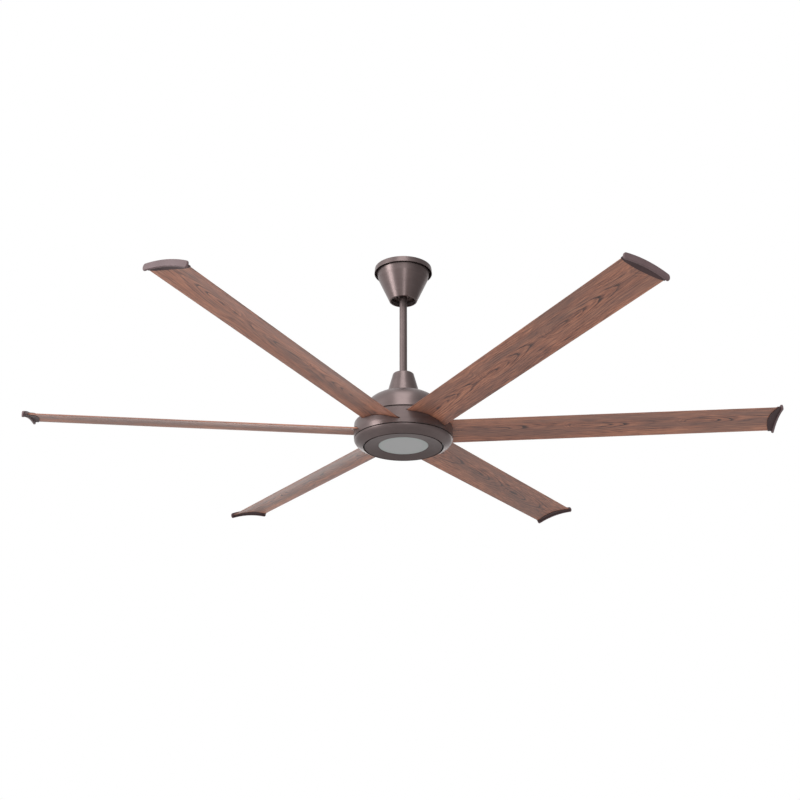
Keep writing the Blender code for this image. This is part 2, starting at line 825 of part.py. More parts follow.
def bearing(place, base, parent, rotor, cage_axis):
    """Inner ring, outer ring and caged balls of one bearing that stands on its base."""
    middle, top = base + bearing_width / 2, base + bearing_width
    centre = (bearing_pitch, middle)
    race = bearing_ball_radius + seat_gap
    half = math.degrees(math.acos(bearing_land / race))
    bore = shaft_radius + seat_gap
    land = bearing_pitch - bearing_land
    outline = [(bore, base), (bore, top), (land, top), *arc(centre, race, 180 - half, 180 + half),
               (land, base)]
    turned(place + "_bearing_inner_ring", outline, small_steps, "steel", parent)

    land = bearing_pitch + bearing_land
    outline = [(bearing_radius, top), (bearing_radius, base), (land, base),
               *arc(centre, race, -half, half), (land, top)]
    turned(place + "_bearing_outer_ring", outline, small_steps, "steel", rotor)

    outline = box_outline(bearing_pitch + cage_half_width, bearing_pitch - cage_half_width,
                          middle + cage_half_height, middle - cage_half_height)
    caged = turned(place + "_bearing_balls", outline, small_steps, "steel", cage_axis)
    balls = bmesh.new()
    for index in range(bearing_balls):
        spot = (*around(bearing_pitch, math.tau * index / bearing_balls), middle)
        bmesh.ops.create_uvsphere(balls, u_segments=screw_steps, v_segments=arc_steps + 1,
                                  radius=bearing_ball_radius, matrix=Matrix.Translation(spot))
    combine(caged, balls, "UNION")


def rotor_shells(rotor):
    """Two cups that meet at the middle of the motor, each round one bearing."""
    lip = boss_bore - rotor_lip_width
    bore = rotor_radius - rotor_wall
    cups = (("rotor_upper_shell", rotor_top, 1, upper_bearing),
            ("rotor_lower_shell", rotor_bottom, -1, lower_bearing + bearing_width))
    for name, face, sign, boss_end in cups:
        edge = rotor_middle + sign * seat_gap / 2
        wall = face - sign * rotor_wall
        bearing_seat = face - sign * rotor_lip
        rim = (rotor_radius, face)
        rounded = fillet((lip, face), rim, (rotor_radius, edge), rotor_round, round_steps)
        outline = [(lip, face), *rounded, (rotor_radius, edge), (bore, edge), (bore, wall),
                   (boss_radius, wall), (boss_radius, boss_end), (boss_bore, boss_end),
                   (boss_bore, bearing_seat), (lip, bearing_seat)]
        turned(name, outline, medium_steps, "aluminium", rotor)
    magnets = box_outline(magnet_radius, magnet_radius - magnet_thickness, rotor_top - magnet_margin,
                          rotor_bottom + magnet_margin)
    turned("magnet_ring", magnets, medium_steps, "magnet", rotor)


# Blades. A blade's own frame has x along it, y across it and z off its face.


def blade_turn(index):
    """The turn of a blade's frame: its pitch, its rise and its place round the hub."""
    return -math.radians(blade_pitch), -math.radians(blade_rise), math.tau * index / blade_count


def blade_frame(index):
    """The matrix of a blade's frame."""
    frame = Matrix.Identity(4)
    for angle, axis in zip(blade_turn(index), "XYZ"):
        frame = Matrix.Rotation(angle, 4, axis) @ frame
    return frame


def rise_at(across):
    """The height of the cambered face above the chord."""
    return math.sqrt(camber_radius**2 - (across + blade_shift) ** 2) - camber_radius + blade_camber


def sides_at(along):
    """The two edges of a blade: its full chord, or less where its neighbours come close."""
    room = along * math.tan(math.pi / blade_count) - blade_root_gap
    low = max(-room, -half_chord - blade_shift) + blade_edge
    return low, min(room, half_chord - blade_shift) - blade_edge


def full_chord_places():
    """Where each edge of a blade reaches its full chord, going outwards."""
    widths = (half_chord - blade_shift, half_chord + blade_shift)
    return [(width + blade_root_gap) / math.tan(math.pi / blade_count) for width in widths]


def stations_between(low, high):
    """Places across a strip, on the blade's own facets and drawn in to the strip's sides."""
    start, end = sides_at(blade_end)
    places = [start + (end - start) * step / blade_steps for step in range(blade_steps + 1)]
    return [min(max(place, low), high) for place in places]


def strip(along, sides, bottom, top, bulge, edge_steps):
    """A loop round a cambered strip with rounded edges. along is a place on the blade,
    or a function that gives one for each place across it."""
    run = along if callable(along) else lambda across: along
    low, high = sides
    stations = stations_between(low, high)
    half, middle = (top - bottom) / 2, (top + bottom) / 2
    bends = [math.pi * step / edge_steps for step in range(1, edge_steps)]

    def edge(across, side):
        return [(run(across), across + side * bulge * math.sin(bend),
                 rise_at(across) + middle + side * half * math.cos(bend)) for bend in bends]

    upper = [(run(place), place, rise_at(place) + top) for place in stations]
    lower = [(run(place), place, rise_at(place) + bottom) for place in reversed(stations)]
    return upper + edge(high, 1) + lower + edge(low, -1)


def screw_places():
    """Where the screws of a clamp stand, along the blade and across it."""
    return [(clamp_start + clamp_length * length, clamp_half_width * width)
            for length, width in zip(blade_screw_length_shares, blade_screw_width_shares)]


def blades(rotor):
    stations = [blade_root_radius, *full_chord_places(), blade_end]
    for index in range(blade_count):
        bm = bmesh.new()
        add_loft(bm, [strip(along, sides_at(along), -half_thickness, half_thickness, blade_edge, 2)
                      for along in stations])
        blade = piece("blade_%d" % (index + 1), bm, "wood", rotor, blade_turn(index))
        holes = bmesh.new()
        for along, across in screw_places():
            middle = rise_at(across)
            reach = blade_thickness
            add_pin(holes, blade_screw_radius + seat_gap, (along, across, middle - reach),
                    (along, across, middle + reach), screw_steps)
        combine(blade, holes, "DIFFERENCE")


def blade_caps(rotor):
    """A bar across each blade's end, with a sleeve round the blade behind it."""
    sides = sides_at(blade_end)

    def border(across):
        share = (across + blade_shift) / half_chord
        return tip_along - cap_side_depth - (cap_depth - cap_side_depth) * max(0, 1 - share**2)

    bar_back = tip_along - cap_bar
    pocket = half_thickness + seat_gap
    sleeve = pocket + cap_sleeve
    bar_bottom = -half_thickness - cap_bar_drop
    bar_top = bar_bottom + cap_bar_height
    bar_bulge = blade_edge + cap_overhang
    layers = [(tip_along - cap_floor, -pocket, pocket, blade_edge + seat_gap),
              (border, -pocket, pocket, blade_edge + seat_gap),
              (border, -sleeve, sleeve, blade_edge + seat_gap + cap_sleeve),
              (bar_back, -sleeve, sleeve, blade_edge + seat_gap + cap_sleeve),
              (bar_back, bar_bottom, bar_top, bar_bulge),
              (tip_along - cap_bar_chamfer, bar_bottom, bar_top, bar_bulge),
              (tip_along, bar_bottom + cap_bar_chamfer, bar_top - cap_bar_chamfer,
               bar_bulge - cap_bar_chamfer)]
    for index in range(blade_count):
        bm = bmesh.new()
        add_loft(bm, [strip(along, sides, bottom, top, bulge, cap_edge_steps)
                      for along, bottom, top, bulge in layers])
        piece("blade_cap_%d" % (index + 1), bm, "cap", rotor, blade_turn(index))


def blade_clamps(rotor):
    """A plate under each blade's root, with the three screws that pass through the blade."""
    top = -half_thickness - seat_gap
    bottom = top - clamp_plate
    for index in range(blade_count):
        plate = bmesh.new()
        add_loft(plate, [strip(along, (-clamp_half_width, clamp_half_width), bottom, top, 0, 1)
                         for along in (clamp_start, clamp_start + clamp_length)])
        clamp = piece("blade_clamp_%d" % (index + 1), plate, "steel", rotor, blade_turn(index))
        screws = bmesh.new()
        for along, across in screw_places():
            middle = rise_at(across)
            seat = middle + bottom + clamp_plate / 2
            tip = middle + half_thickness + seat_gap + blade_screw_grip
            head = middle + bottom - blade_head_height
            outline = [(0, tip), (blade_screw_radius, tip), (blade_screw_radius, seat),
                       (blade_head_radius, seat), (blade_head_radius, head), (0, head)]
            add_turned(screws, outline, screw_steps, (along, across))
        combine(clamp, screws, "UNION")


def add_saddle(bm, frame):
    """A block under the carrier's disc whose lower side follows a blade's upper side."""
    inside = carrier_bottom + carrier_disc / 2
    columns = []
    for along in (saddle_start, saddle_end):
        low, high = sides_at(along)
        low, high = max(low, -saddle_half_width), min(high, saddle_half_width)
        row = []
        for across in stations_between(low, high):
            foot = frame @ Vector((along, across, rise_at(across) + half_thickness + seat_gap))
            row.append((bm.verts.new(foot), bm.verts.new((foot.x, foot.y, inside))))
        columns.append(row)
    near, far = columns
    for row in columns:
        for (foot, top), (next_foot, next_top) in zip(row, row[1:]):
            bm.faces.new((foot, next_foot, next_top, top))
    for level in range(2):
        for index in range(blade_steps):
            corners = ((near, index), (near, index + 1), (far, index + 1), (far, index))
            bm.faces.new([row[place][level] for row, place in corners])
    for index in (0, blade_steps):
        bm.faces.new((*near[index], *far[index][::-1]))


def blade_carrier(rotor):
    disc = box_outline(carrier_radius, carrier_bore_radius, carrier_top, carrier_bottom)
    carrier = turned("blade_carrier", disc, large_steps, "aluminium", rotor)
    saddles, holes = bmesh.new(), bmesh.new()
    for index in range(blade_count):
        frame = blade_frame(index)
        add_saddle(saddles, frame)
        for along, across in screw_places():
            foot = rise_at(across)
            tip = foot + half_thickness + blade_screw_grip + 2 * seat_gap
            add_pin(holes, blade_screw_radius + seat_gap, frame @ Vector((along, across, foot)),
                    frame @ Vector((along, across, tip)), screw_steps)
    combine(carrier, saddles, "UNION")
    combine(carrier, holes, "DIFFERENCE")


def hub_band(rotor):
    top = (shoulder_radius, shoulder_top)
    edge = band_radius - band_crown
    path = [(band_flange_radius, shoulder_top), top, (edge, band_top), (band_radius, -band_crown_drop),
            (edge, -band_drop)]
    band = turned("hub_band", shell(path, band_wall), large_steps, "bronze", rotor)
    room = half_thickness + slot_side_room
    corner = half_chord + blade_shift + slot_end_room
    start = math.sqrt(band_bore**2 - corner**2) - overrun
    low, high = sides_at(blade_end)
    for index in range(blade_count):
        slot = bmesh.new()
        add_loft(slot, [strip(along, (low, high), -room, room, blade_edge + slot_end_room, cap_edge_steps)
                        for along in (start, band_radius + overrun)])
        bmesh.ops.transform(slot, matrix=blade_frame(index), verts=slot.verts)
        combine(band, slot, "DIFFERENCE")


# Lower housing and lamp


def bowl_path():
    rim = (bowl_rim_radius, bowl_rim)
    foot = (bowl_foot_radius, bowl_bottom)
    inward, down = bowl_corner_shares
    corner = (bowl_rim_radius - bowl_floor_inset * inward, bowl_rim - bowl_depth * down)
    return [rim, *fillet(rim, corner, foot, bowl_round, bowl_steps), foot]


def lower_housing(parent):
    """The bowl, with a ledge inside that the plates rest against."""
    path = bowl_path()
    inner = inner_side(path, bowl_sheet)
    ledge_radius = radius_at(inner, ledge_bottom) - ledge_width
    above = [point for point in inner if point[1] > ledge_top]
    below = [point for point in inner if point[1] < ledge_bottom]
    ledge = [(radius_at(inner, ledge_top), ledge_top), (ledge_radius, ledge_top),
             (ledge_radius, ledge_bottom), (radius_at(inner, ledge_bottom), ledge_bottom)]
    turned("lower_housing", path + (above + ledge + below)[::-1], large_steps, "bronze", parent)


def light_kit(parent):
    inner = inner_side(bowl_path(), bowl_sheet)
    bore = shaft_thread_radius + seat_gap
    plate = box_outline(radius_at(inner, plate_bottom) - seat_gap, bore, plate_top, plate_bottom)
    turned("light_kit_plate", plate, large_steps, "zinc", parent)

    nut = bmesh.new()
    add_turned(nut, box_outline(nut_radius, 0, plate_bottom - seat_gap, nut_bottom), nut_sides)
    hexagon = piece("shaft_nut", nut, "steel", parent)
    hole = bmesh.new()
    add_pin(hole, bore, (0, 0, nut_bottom - overrun), (0, 0, plate_bottom + overrun), small_steps)
    combine(hexagon, hole, "DIFFERENCE")

    driver = bmesh.new()
    base = plate_top + seat_gap
    add_box(driver, (driver_offset - driver_half_width, -driver_half_length, base),
            (driver_offset + driver_half_width, driver_half_length, base + driver_height))
    bmesh.ops.bevel(driver, geom=driver.edges[:], offset=driver_round, segments=1, affect="EDGES")
    piece("led_driver", driver, "plastic", parent)

    sink = box_outline(radius_at(inner, sink_bottom) - seat_gap, sink_bore_radius, sink_top, sink_bottom)
    turned("led_plate", sink, large_steps, "aluminium", parent)

    board = box_outline(board_radius, sink_bore_radius, board_top, board_top - board_thickness)
    lamp = turned("led_board", board, medium_steps, "board", parent)
    chips = bmesh.new()
    for index in range(chip_count):
        x, y = around(chip_ring_radius, math.tau * index / chip_count)
        middle = board_top - board_thickness / 2
        add_box(chips, (x - chip_half_size, y - chip_half_size, board_top - board_thickness - chip_height),
                (x + chip_half_size, y + chip_half_size, middle))
    combine(lamp, chips, "UNION")


def light_trim(parent):
    corner = (trim_radius, bowl_bottom)
    top = (trim_radius, sink_bottom - seat_gap)
    edge = (lens_opening_radius, lens_edge)
    path = [top, *fillet(top, corner, edge, trim_round, round_steps), edge]
    turned("light_trim", shell(path, trim_sheet), large_steps, "bronze", parent)
    return inner_side(path, trim_sheet)[-1][1]


def lens(parent, seat):
    """A flanged disc that rests on the inner edge of the trim."""
    face = lens_edge + lens_recess
    disc = lens_opening_radius - lens_border
    flange = lens_opening_radius + lens_seat
    bottom = seat + seat_gap
    back = bottom + lens_thickness
    outline = [(0, back), (flange, back), (flange, bottom), (disc, bottom), (disc, face), (0, face)]
    turned("lens", outline, large_steps, "lens", parent)


def build():
    for old in list(bpy.data.objects):
        bpy.data.objects.remove(old)

    hanger_bracket()
    canopy()
    canopy_ring()
    canopy_screws()
    ground_screw()
    receiver()

    ball_centre = axis_at("ball_centre", -ball_depth)
    hanger_ball(ball_centre)
    downrod(ball_centre)
    ball_fasteners(ball_centre)

    hub = axis_at("hub_centre", -hub_drop, ball_centre)
    rotor = axis_at("rotor_axis", 0, hub)
    coupling_cover(hub)
    coupler(hub)
    coupler_fasteners(hub)
    upper_housing(hub)
    motor_shaft(hub)
    stator(hub)
    for place, base in (("upper", upper_bearing), ("lower", lower_bearing)):
        bearing(place, base, hub, rotor, axis_at(place + "_cage_axis", 0, hub))
    rotor_shells(rotor)
    blade_carrier(rotor)
    hub_band(rotor)
    blades(rotor)
    blade_caps(rotor)
    blade_clamps(rotor)
    lower_housing(hub)
    light_kit(hub)
    lens(hub, light_trim(hub))


build()
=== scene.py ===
"""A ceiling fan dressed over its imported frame: spun bronze housings, wood blades with
capped tips and a frosted lamp. The camera looks up at it as the photograph does.
Lengths are in metres and angles in degrees. Heights on the hub are measured from the
plane of the blades, and all other heights from the ceiling."""

import json
import math

import bmesh
import bpy
from mathutils import Matrix, Vector


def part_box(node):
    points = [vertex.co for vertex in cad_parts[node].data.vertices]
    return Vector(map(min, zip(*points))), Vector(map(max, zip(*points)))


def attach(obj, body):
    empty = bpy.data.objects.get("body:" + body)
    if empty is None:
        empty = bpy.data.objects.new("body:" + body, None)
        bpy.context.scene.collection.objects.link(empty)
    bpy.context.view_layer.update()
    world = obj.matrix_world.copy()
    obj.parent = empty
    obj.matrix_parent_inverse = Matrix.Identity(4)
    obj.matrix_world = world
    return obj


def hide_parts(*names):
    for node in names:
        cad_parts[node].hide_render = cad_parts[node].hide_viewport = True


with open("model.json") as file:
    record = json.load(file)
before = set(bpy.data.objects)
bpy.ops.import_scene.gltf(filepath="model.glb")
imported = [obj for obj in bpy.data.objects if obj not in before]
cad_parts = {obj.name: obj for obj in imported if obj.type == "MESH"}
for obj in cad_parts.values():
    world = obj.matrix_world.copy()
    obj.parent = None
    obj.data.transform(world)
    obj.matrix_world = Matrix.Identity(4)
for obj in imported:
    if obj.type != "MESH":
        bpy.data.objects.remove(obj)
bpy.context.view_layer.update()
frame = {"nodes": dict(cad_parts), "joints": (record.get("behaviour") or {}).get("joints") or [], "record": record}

hub = next(joint["pos_m"][2] for joint in frame["joints"] if joint["name"] == "rotor_spin")
gap = 0.0003

# Camera, solved from the photograph
lens_length = 60.56
camera_distance = 3.564
camera_drop = 1.3505
camera_pitch = 22.185
camera_yaw = 0.154
view_turn = -0.524

# Studio. A panel has its azimuth, elevation, distance, size and radiance.
panels = {
    "top_panel": (-4, 60, 3.0, (1.6, 3.0), 2.2),
    "left_panel": (-64, 5, 3.0, (1.1, 2.4), 5.4),
    "back_panel": (163, 3, 4.5, (5.4, 0.9), 1.4),
    "front_panel": (6, -14, 4.2, (0.55, 1.2), 7.0),
}
panel_aim = -0.35
floor_height = -2.75
floor_reach = 6
floor_steps = 64
floor_fade = (2.0, 5.0)
# The floor's tone in a strip under the fan: a painted shadow.
floor_shadow_tone = 0.56
floor_side = 0.84
ambient = 0.6
studio_dim = (0.7, 0.55)

# Fineness of the pieces
turned_steps = 160
bend_step = 9
chord_steps = 24
chord_crowding = 0.11
blade_steps = 12
edge_steps = 8
edge_round = 0.0004

# Canopy and its ring
canopy_sheet = 0.0015
canopy_rim = (0.077, 0.0174)
canopy_collar = (0.0731, 0.0335)
canopy_mouth = (0.0402, 0.107)
canopy_lip = 0.004
canopy_rounds = (0.0012, 0.004, 0.0018)
screw_hole = (0.0023, 0.009)
screw_reach = 0.005
ring_sheet = 0.0014
ring_top = 0.0842
ring_foot = (0.0856, 0.0167)
ring_round = 0.0012
ring_gap = 0.00005

# Downrod and the cover of its coupling
rod_radius = 0.011
rod_wall = 0.002
pin_hole = 0.0033
clevis_drop = 0.0185
cover_top = (0.0297, 0.1835)
cover_foot = (0.047, 0.1205)
cover_round = 0.0045
cover_sheet = 0.0015

# Upper housing
neck = (0.047, 0.1202)
neck_hole = 0.0173
neck_round = 0.003
crown_slope = 19
wall_slope = 74
shoulder_round = 0.073
housing_foot = (0.1245, 0.0393)
housing_sheet = 0.002

# Hub band
band_path = ((0.112, 0.0362), (0.126, 0.0362), (0.1396, 0.0266), (0.1406, -0.005), (0.1396, -0.0178))
band_rounds = (0, 0.0012, 0.0016, 0.05, 0)
band_wall = 0.003
slot_side_room = 0.0016
slot_end_room = 0.0025
slot_start = 0.11

# Lower housing and lamp
bowl_rim = (0.1396, -0.0203)
bowl_foot = (0.1135, -0.0417)
bowl_corner_shares = (0.097, 0.364)
bowl_round = 0.02
bowl_sheet = 0.002
ledge_width = 0.008
trim_radius = 0.1095
trim_round = 0.0005
trim_sheet = 0.0015
lens_opening = (0.0705, -0.0375)
lens_border = 0.0003
lens_flange = 0.004
lens_thickness = 0.002
lens_round = 0.0008

# Blades and their caps
blade_count = 6
blade_pitch = 11.33
blade_rise = 2.48
tip_radius = 1.067
blade_chord = 0.1222
blade_camber = 0.007
blade_thickness = 0.005
blade_edge = 0.0012
blade_edge_thickness = 0.0008
blade_taper = 0.02
blade_shift = 0.0021
blade_root = 0.058
root_gap = 0.005
cap_floor = 0.003
cap_bar = 0.006
cap_bar_height = 0.0175
cap_bar_drop = 0.0067
cap_overhang = 0.0045
cap_sleeve = 0.0016
cap_depth = 0.028
cap_side_depth = 0.0155
cap_edge_round = 0.0014
cap_end_round = 0.0025
cap_skin = 0.0001
cap_inner_round = 0.0016
clamp_place = (0.066, 0.042, 0.025)
clamp_screw_shares = ((0.2, 0), (0.75, -0.66), (0.75, 0.66))
clamp_hole = 0.0028

half_chord = blade_chord / 2
half_thickness = blade_thickness / 2
half_edge = blade_edge_thickness / 2
camber_radius = (half_chord**2 + blade_camber**2) / (2 * blade_camber)
tip_along = tip_radius / math.cos(math.radians(blade_rise))
blade_end = tip_along - cap_floor - gap


# Outlines, as pairs of radius and height


def round_corner(before, corner, after, radius, step=bend_step):
    """The arc that rounds one corner of an outline, no longer than its sides allow."""
    start = (Vector(before) - Vector(corner)).normalized()
    end = (Vector(after) - Vector(corner)).normalized()
    half = start.angle(end) / 2
    reach = min(radius / math.tan(half), math.dist(before, corner), math.dist(after, corner))
    size = reach * math.tan(half)
    middle, across = (start + end).normalized(), (end - start).normalized()
    centre = Vector(corner) + middle * size / math.sin(half)
    turn = math.pi - 2 * half
    steps = max(2, math.ceil(math.degrees(turn) / step))
    angles = [turn * (index / steps - 1 / 2) for index in range(steps + 1)]
    return [tuple(centre + size * (math.sin(a) * across - math.cos(a) * middle)) for a in angles]


def rounded(points, radii, closed=False):
    """A path with its corners rounded to these radii. A radius of 0 leaves the corner."""
    path = []
    for place, (point, radius) in enumerate(zip(points, radii)):
        at_end = not closed and place in (0, len(points) - 1)
        if at_end or not radius:
            path.append(tuple(point))
        else:
            path += round_corner(points[place - 1], point, points[(place + 1) % len(points)], radius)
    return path


def squared(end, before, outer):
    """Slides the end of an inner side level with the outer end, or upright in line
    with it where the wall runs flatter."""
    run, rise = end[0] - before[0], end[1] - before[1]
    if abs(rise) > abs(run):
        return end[0] + run * (outer[1] - end[1]) / rise, outer[1]
    return outer[0], end[1] + rise * (outer[0] - end[0]) / run


def inner_side(path, thickness):
    """The path at this distance to the right of an open path, with mitred corners."""
    directions = [(Vector(b) - Vector(a)).normalized() for a, b in zip(path, path[1:])]
    inner = []
    for point, arriving, leaving in zip(path, directions[:1] + directions, directions + directions[-1:]):
        mean = (arriving + leaving).normalized()
        mitre = thickness / mean.dot(leaving)
        inner.append((point[0] + mean.y * mitre, point[1] - mean.x * mitre))
    inner[0] = squared(inner[0], inner[1], path[0])
    inner[-1] = squared(inner[-1], inner[-2], path[-1])
    return inner


def shell(path, thickness, inner=None):
    """The closed outline of a sheet along a path, with softened ends, and its inner side."""
    inner = inner or inner_side(path, thickness)
    outline = path + inner[::-1]
    ends = (0, len(path) - 1, len(path), len(outline) - 1)
    radii = [min(edge_round, thickness / 3) if place in ends else 0 for place in range(len(outline))]
    return rounded(outline, radii, True), inner


def beside(path, point, reach=0.00005):
    """Whether a point lies on a path, within a hair."""
    for start, end in zip(path, path[1:]):
        start, run = Vector(start), Vector(end) - Vector(start)
        share = min(1, max(0, (Vector(point) - start).dot(run) / max(run.dot(run), 1e-12)))
        if (start + run * share - Vector(point)).length < reach:
            return True
    return False


def radius_at(path, height):
    """The radius of a falling path at a height."""
    for (start, top), (end, bottom) in zip(path, path[1:]):
        if top >= height > bottom:
            return start + (end - start) * (top - height) / (top - bottom)
    return path[-1][0]


def crossing(start, start_slope, end, end_slope):
    """Where the line that falls from start meets the line that falls into end."""
    fall, last_fall = math.tan(math.radians(start_slope)), math.tan(math.radians(end_slope))
    radius = (start[1] - end[1] + fall * start[0] - last_fall * end[0]) / (fall - last_fall)
    return radius, start[1] - fall * (radius - start[0])


def lifted(path, height):
    """A path moved up by a height."""
    return [(radius, z + height) for radius, z in path]


def falling(*places):
    """A path whose places are given by radius and depth below the ceiling."""
    return [(radius, -depth) for radius, depth in places]


# Pieces


def finished(name, bm, materials, body, nodes, matrix=None, sharp=32):
    """A shown piece that rides on a body and stands for CAD nodes."""
    bmesh.ops.remove_doubles(bm, verts=bm.verts, dist=1e-6)
    bmesh.ops.recalc_face_normals(bm, faces=bm.faces)
    if matrix:
        bm.transform(matrix)
    mesh = bpy.data.meshes.new(name)
    bm.to_mesh(mesh)
    bm.free()
    part = bpy.data.objects.new(name, mesh)
    bpy.context.scene.collection.objects.link(part)
    for material in materials:
        mesh.materials.append(material)
    smooth(part, sharp)
    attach(part, body)
    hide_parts(*nodes)
    return part


def smooth(part, sharp):
    """Smooth shading with true creases, and flats that stay flat beside their rounds."""
    part.data.shade_smooth()
    part.data.set_sharp_from_angle(angle=math.radians(sharp))
    if not part.modifiers:
        even = part.modifiers.new("Even", "WEIGHTED_NORMAL")
        even.keep_sharp = True


def turned_mesh(outline, hidden=(), steps=turned_steps):
    """A closed outline turned about the upright axis. Faces on a hidden path take the
    second material."""
    bm = bmesh.new()
    sides = [(Vector(a) + Vector(b)) / 2 for a, b in zip(outline, outline[1:] + outline[:1])]
    finish = [int(any(beside(path, middle) for path in hidden)) for middle in sides]
    rings = []
    for index in range(steps):
        angle = math.tau * index / steps
        c, s = math.cos(angle), math.sin(angle)
        rings.append([bm.verts.new((radius * c, radius * s, z)) for radius, z in outline])
    count = len(outline)
    for ring, following in zip(rings, rings[1:] + rings[:1]):
        for place in range(count):
            after = (place + 1) % count
            corners = [ring[place], following[place], following[after], ring[after]]
            if outline[place][0] == 0 and outline[after][0] == 0:
                continue
            if outline[place][0] == 0:
                corners = [ring[place], following[after], ring[after]]
            elif outline[after][0] == 0:
                corners = [ring[place], following[place], ring[after]]
            bm.faces.new(corners).material_index = finish[place]
    return bm


def loft_mesh(loops, second=0):
    """Closed loops of one length joined in a row, with a face on each end. This many
    rows at the start take the second material."""
    bm = bmesh.new()
    rows = [[bm.verts.new(point) for point in loop] for loop in loops]
    for index, (row, following) in enumerate(zip(rows, rows[1:])):
        for place in range(len(row)):
            after = (place + 1) % len(row)
            face = bm.faces.new((row[place], row[after], following[after], following[place]))
            face.material_index = int(index < second)
    bm.faces.new(rows[0][::-1])
    bm.faces.new(rows[-1])
    return bm


def pin_mesh(bm, radius, start, end, steps=48):
    """A round pin between two points, for boring a hole."""
    start, end = Vector(start), Vector(end)
    turn = (end - start).to_track_quat("Z", "Y").to_matrix().to_4x4()
    bmesh.ops.create_cone(bm, cap_ends=True, segments=steps, radius1=radius, radius2=radius,
                          depth=(end - start).length, matrix=Matrix.Translation((start + end) / 2) @ turn)


def cut(part, tools, sharp=32):
    """Takes each tool's mesh away from a piece."""
    part.modifiers.clear()
    cutters = []
    for bm in tools:
        bmesh.ops.recalc_face_normals(bm, faces=bm.faces)
        mesh = bpy.data.meshes.new("cutter")
        bm.to_mesh(mesh)
        bm.free()
        cutter = bpy.data.objects.new("cutter", mesh)
        bpy.context.scene.collection.objects.link(cutter)
        cutters.append(cutter)
        change = part.modifiers.new("Cut", "BOOLEAN")
        change.object = cutter
    bpy.context.view_layer.update()
    evaluated = part.evaluated_get(bpy.context.evaluated_depsgraph_get())
    mesh = bpy.data.meshes.new_from_object(evaluated)
    part.modifiers.clear()
    part.data = mesh
    for cutter in cutters:
        bpy.data.objects.remove(cutter)
    smooth(part, sharp)


# Materials


def node(tree, kind, inputs=(), **settings):
    """A shader node with its settings made and its inputs set or linked."""
    made = tree.nodes.new("ShaderNode" + kind)
    for name, value in settings.items():
        setattr(made, name, value)
    for key, value in dict(inputs).items():
        if isinstance(value, bpy.types.NodeSocket):
            tree.links.new(value, made.inputs[key])
        else:
            made.inputs[key].default_value = value
    return made


def maths(tree, operation, *values, clamp=False):
    """The result of one sum on numbers or sockets."""
    return node(tree, "Math", enumerate(values), operation=operation, use_clamp=clamp).outputs[0]


def combined(tree, *values):
    return node(tree, "CombineXYZ", enumerate(values)).outputs[0]


def noise(tree, vector, scale=1, detail=2, w=None):
    inputs = {"Vector": vector, "Scale": scale, "Detail": detail}
    if w is None:
        return node(tree, "TexNoise", inputs).outputs[0]
    return node(tree, "TexNoise", {**inputs, "W": w}, noise_dimensions="4D").outputs[0]


def blended(tree, factor, first, second):
    """A colour between two colours."""
    mixer = node(tree, "Mix", data_type="RGBA")
    for socket, value in zip((mixer.inputs[0], mixer.inputs[6], mixer.inputs[7]), (factor, first, second)):
        if isinstance(value, bpy.types.NodeSocket):
            tree.links.new(value, socket)
        else:
            socket.default_value = value if isinstance(value, float) else (*value, 1)
    return mixer.outputs[2]


def ramp(tree, factor, stops, interpolation="LINEAR"):
    """A colour or a number read off a row of stops."""
    made = node(tree, "ValToRGB", {0: factor})
    made.color_ramp.interpolation = interpolation
    elements = made.color_ramp.elements
    while len(elements) < len(stops):
        elements.new(1)
    for element, (place, value) in zip(elements, stops):
        element.position = place
        element.color = (value, value, value, 1) if isinstance(value, (int, float)) else (*value, 1)
    return made.outputs[0]


def stretched(tree, value, start, end, low, high):
    """A value moved from between two numbers to between two others, and held there."""
    return node(tree, "MapRange", {0: value, 1: start, 2: end, 3: low, 4: high}).outputs[0]


def scaled(tree, value, low, high):
    """A noise value of about 0.3 to 0.7 stretched between two numbers."""
    return stretched(tree, value, 0.3, 0.7, low, high)


def new_material(name, matrix=None):
    """A material, its tree, its shader and the object's coordinates, in a frame of its
    own where a matrix gives one."""
    material = bpy.data.materials.new(name)
    material.use_nodes = True
    tree = material.node_tree
    shader = tree.nodes["Principled BSDF"]
    place = node(tree, "TexCoord").outputs["Object"]
    if matrix:
        turn = matrix.to_euler()
        place = node(tree, "Mapping", {"Vector": place, "Location": matrix.translation, "Rotation": turn},
                     vector_type="TEXTURE").outputs[0]
    return material, tree, shader, place


def settle(tree, shader, **values):
    """Sets or links the shader's inputs by name."""
    for name, value in values.items():
        socket = shader.inputs[name.replace("_", " ")]
        if isinstance(value, bpy.types.NodeSocket):
            tree.links.new(value, socket)
        elif socket.type == "RGBA":
            socket.default_value = (*value, 1)
        else:
            socket.default_value = value


def bump(tree, shader, height, distance, strength=1.0):
    made = node(tree, "Bump", {"Height": height, "Distance": distance, "Strength": strength})
    tree.links.new(made.outputs[0], shader.inputs["Normal"])


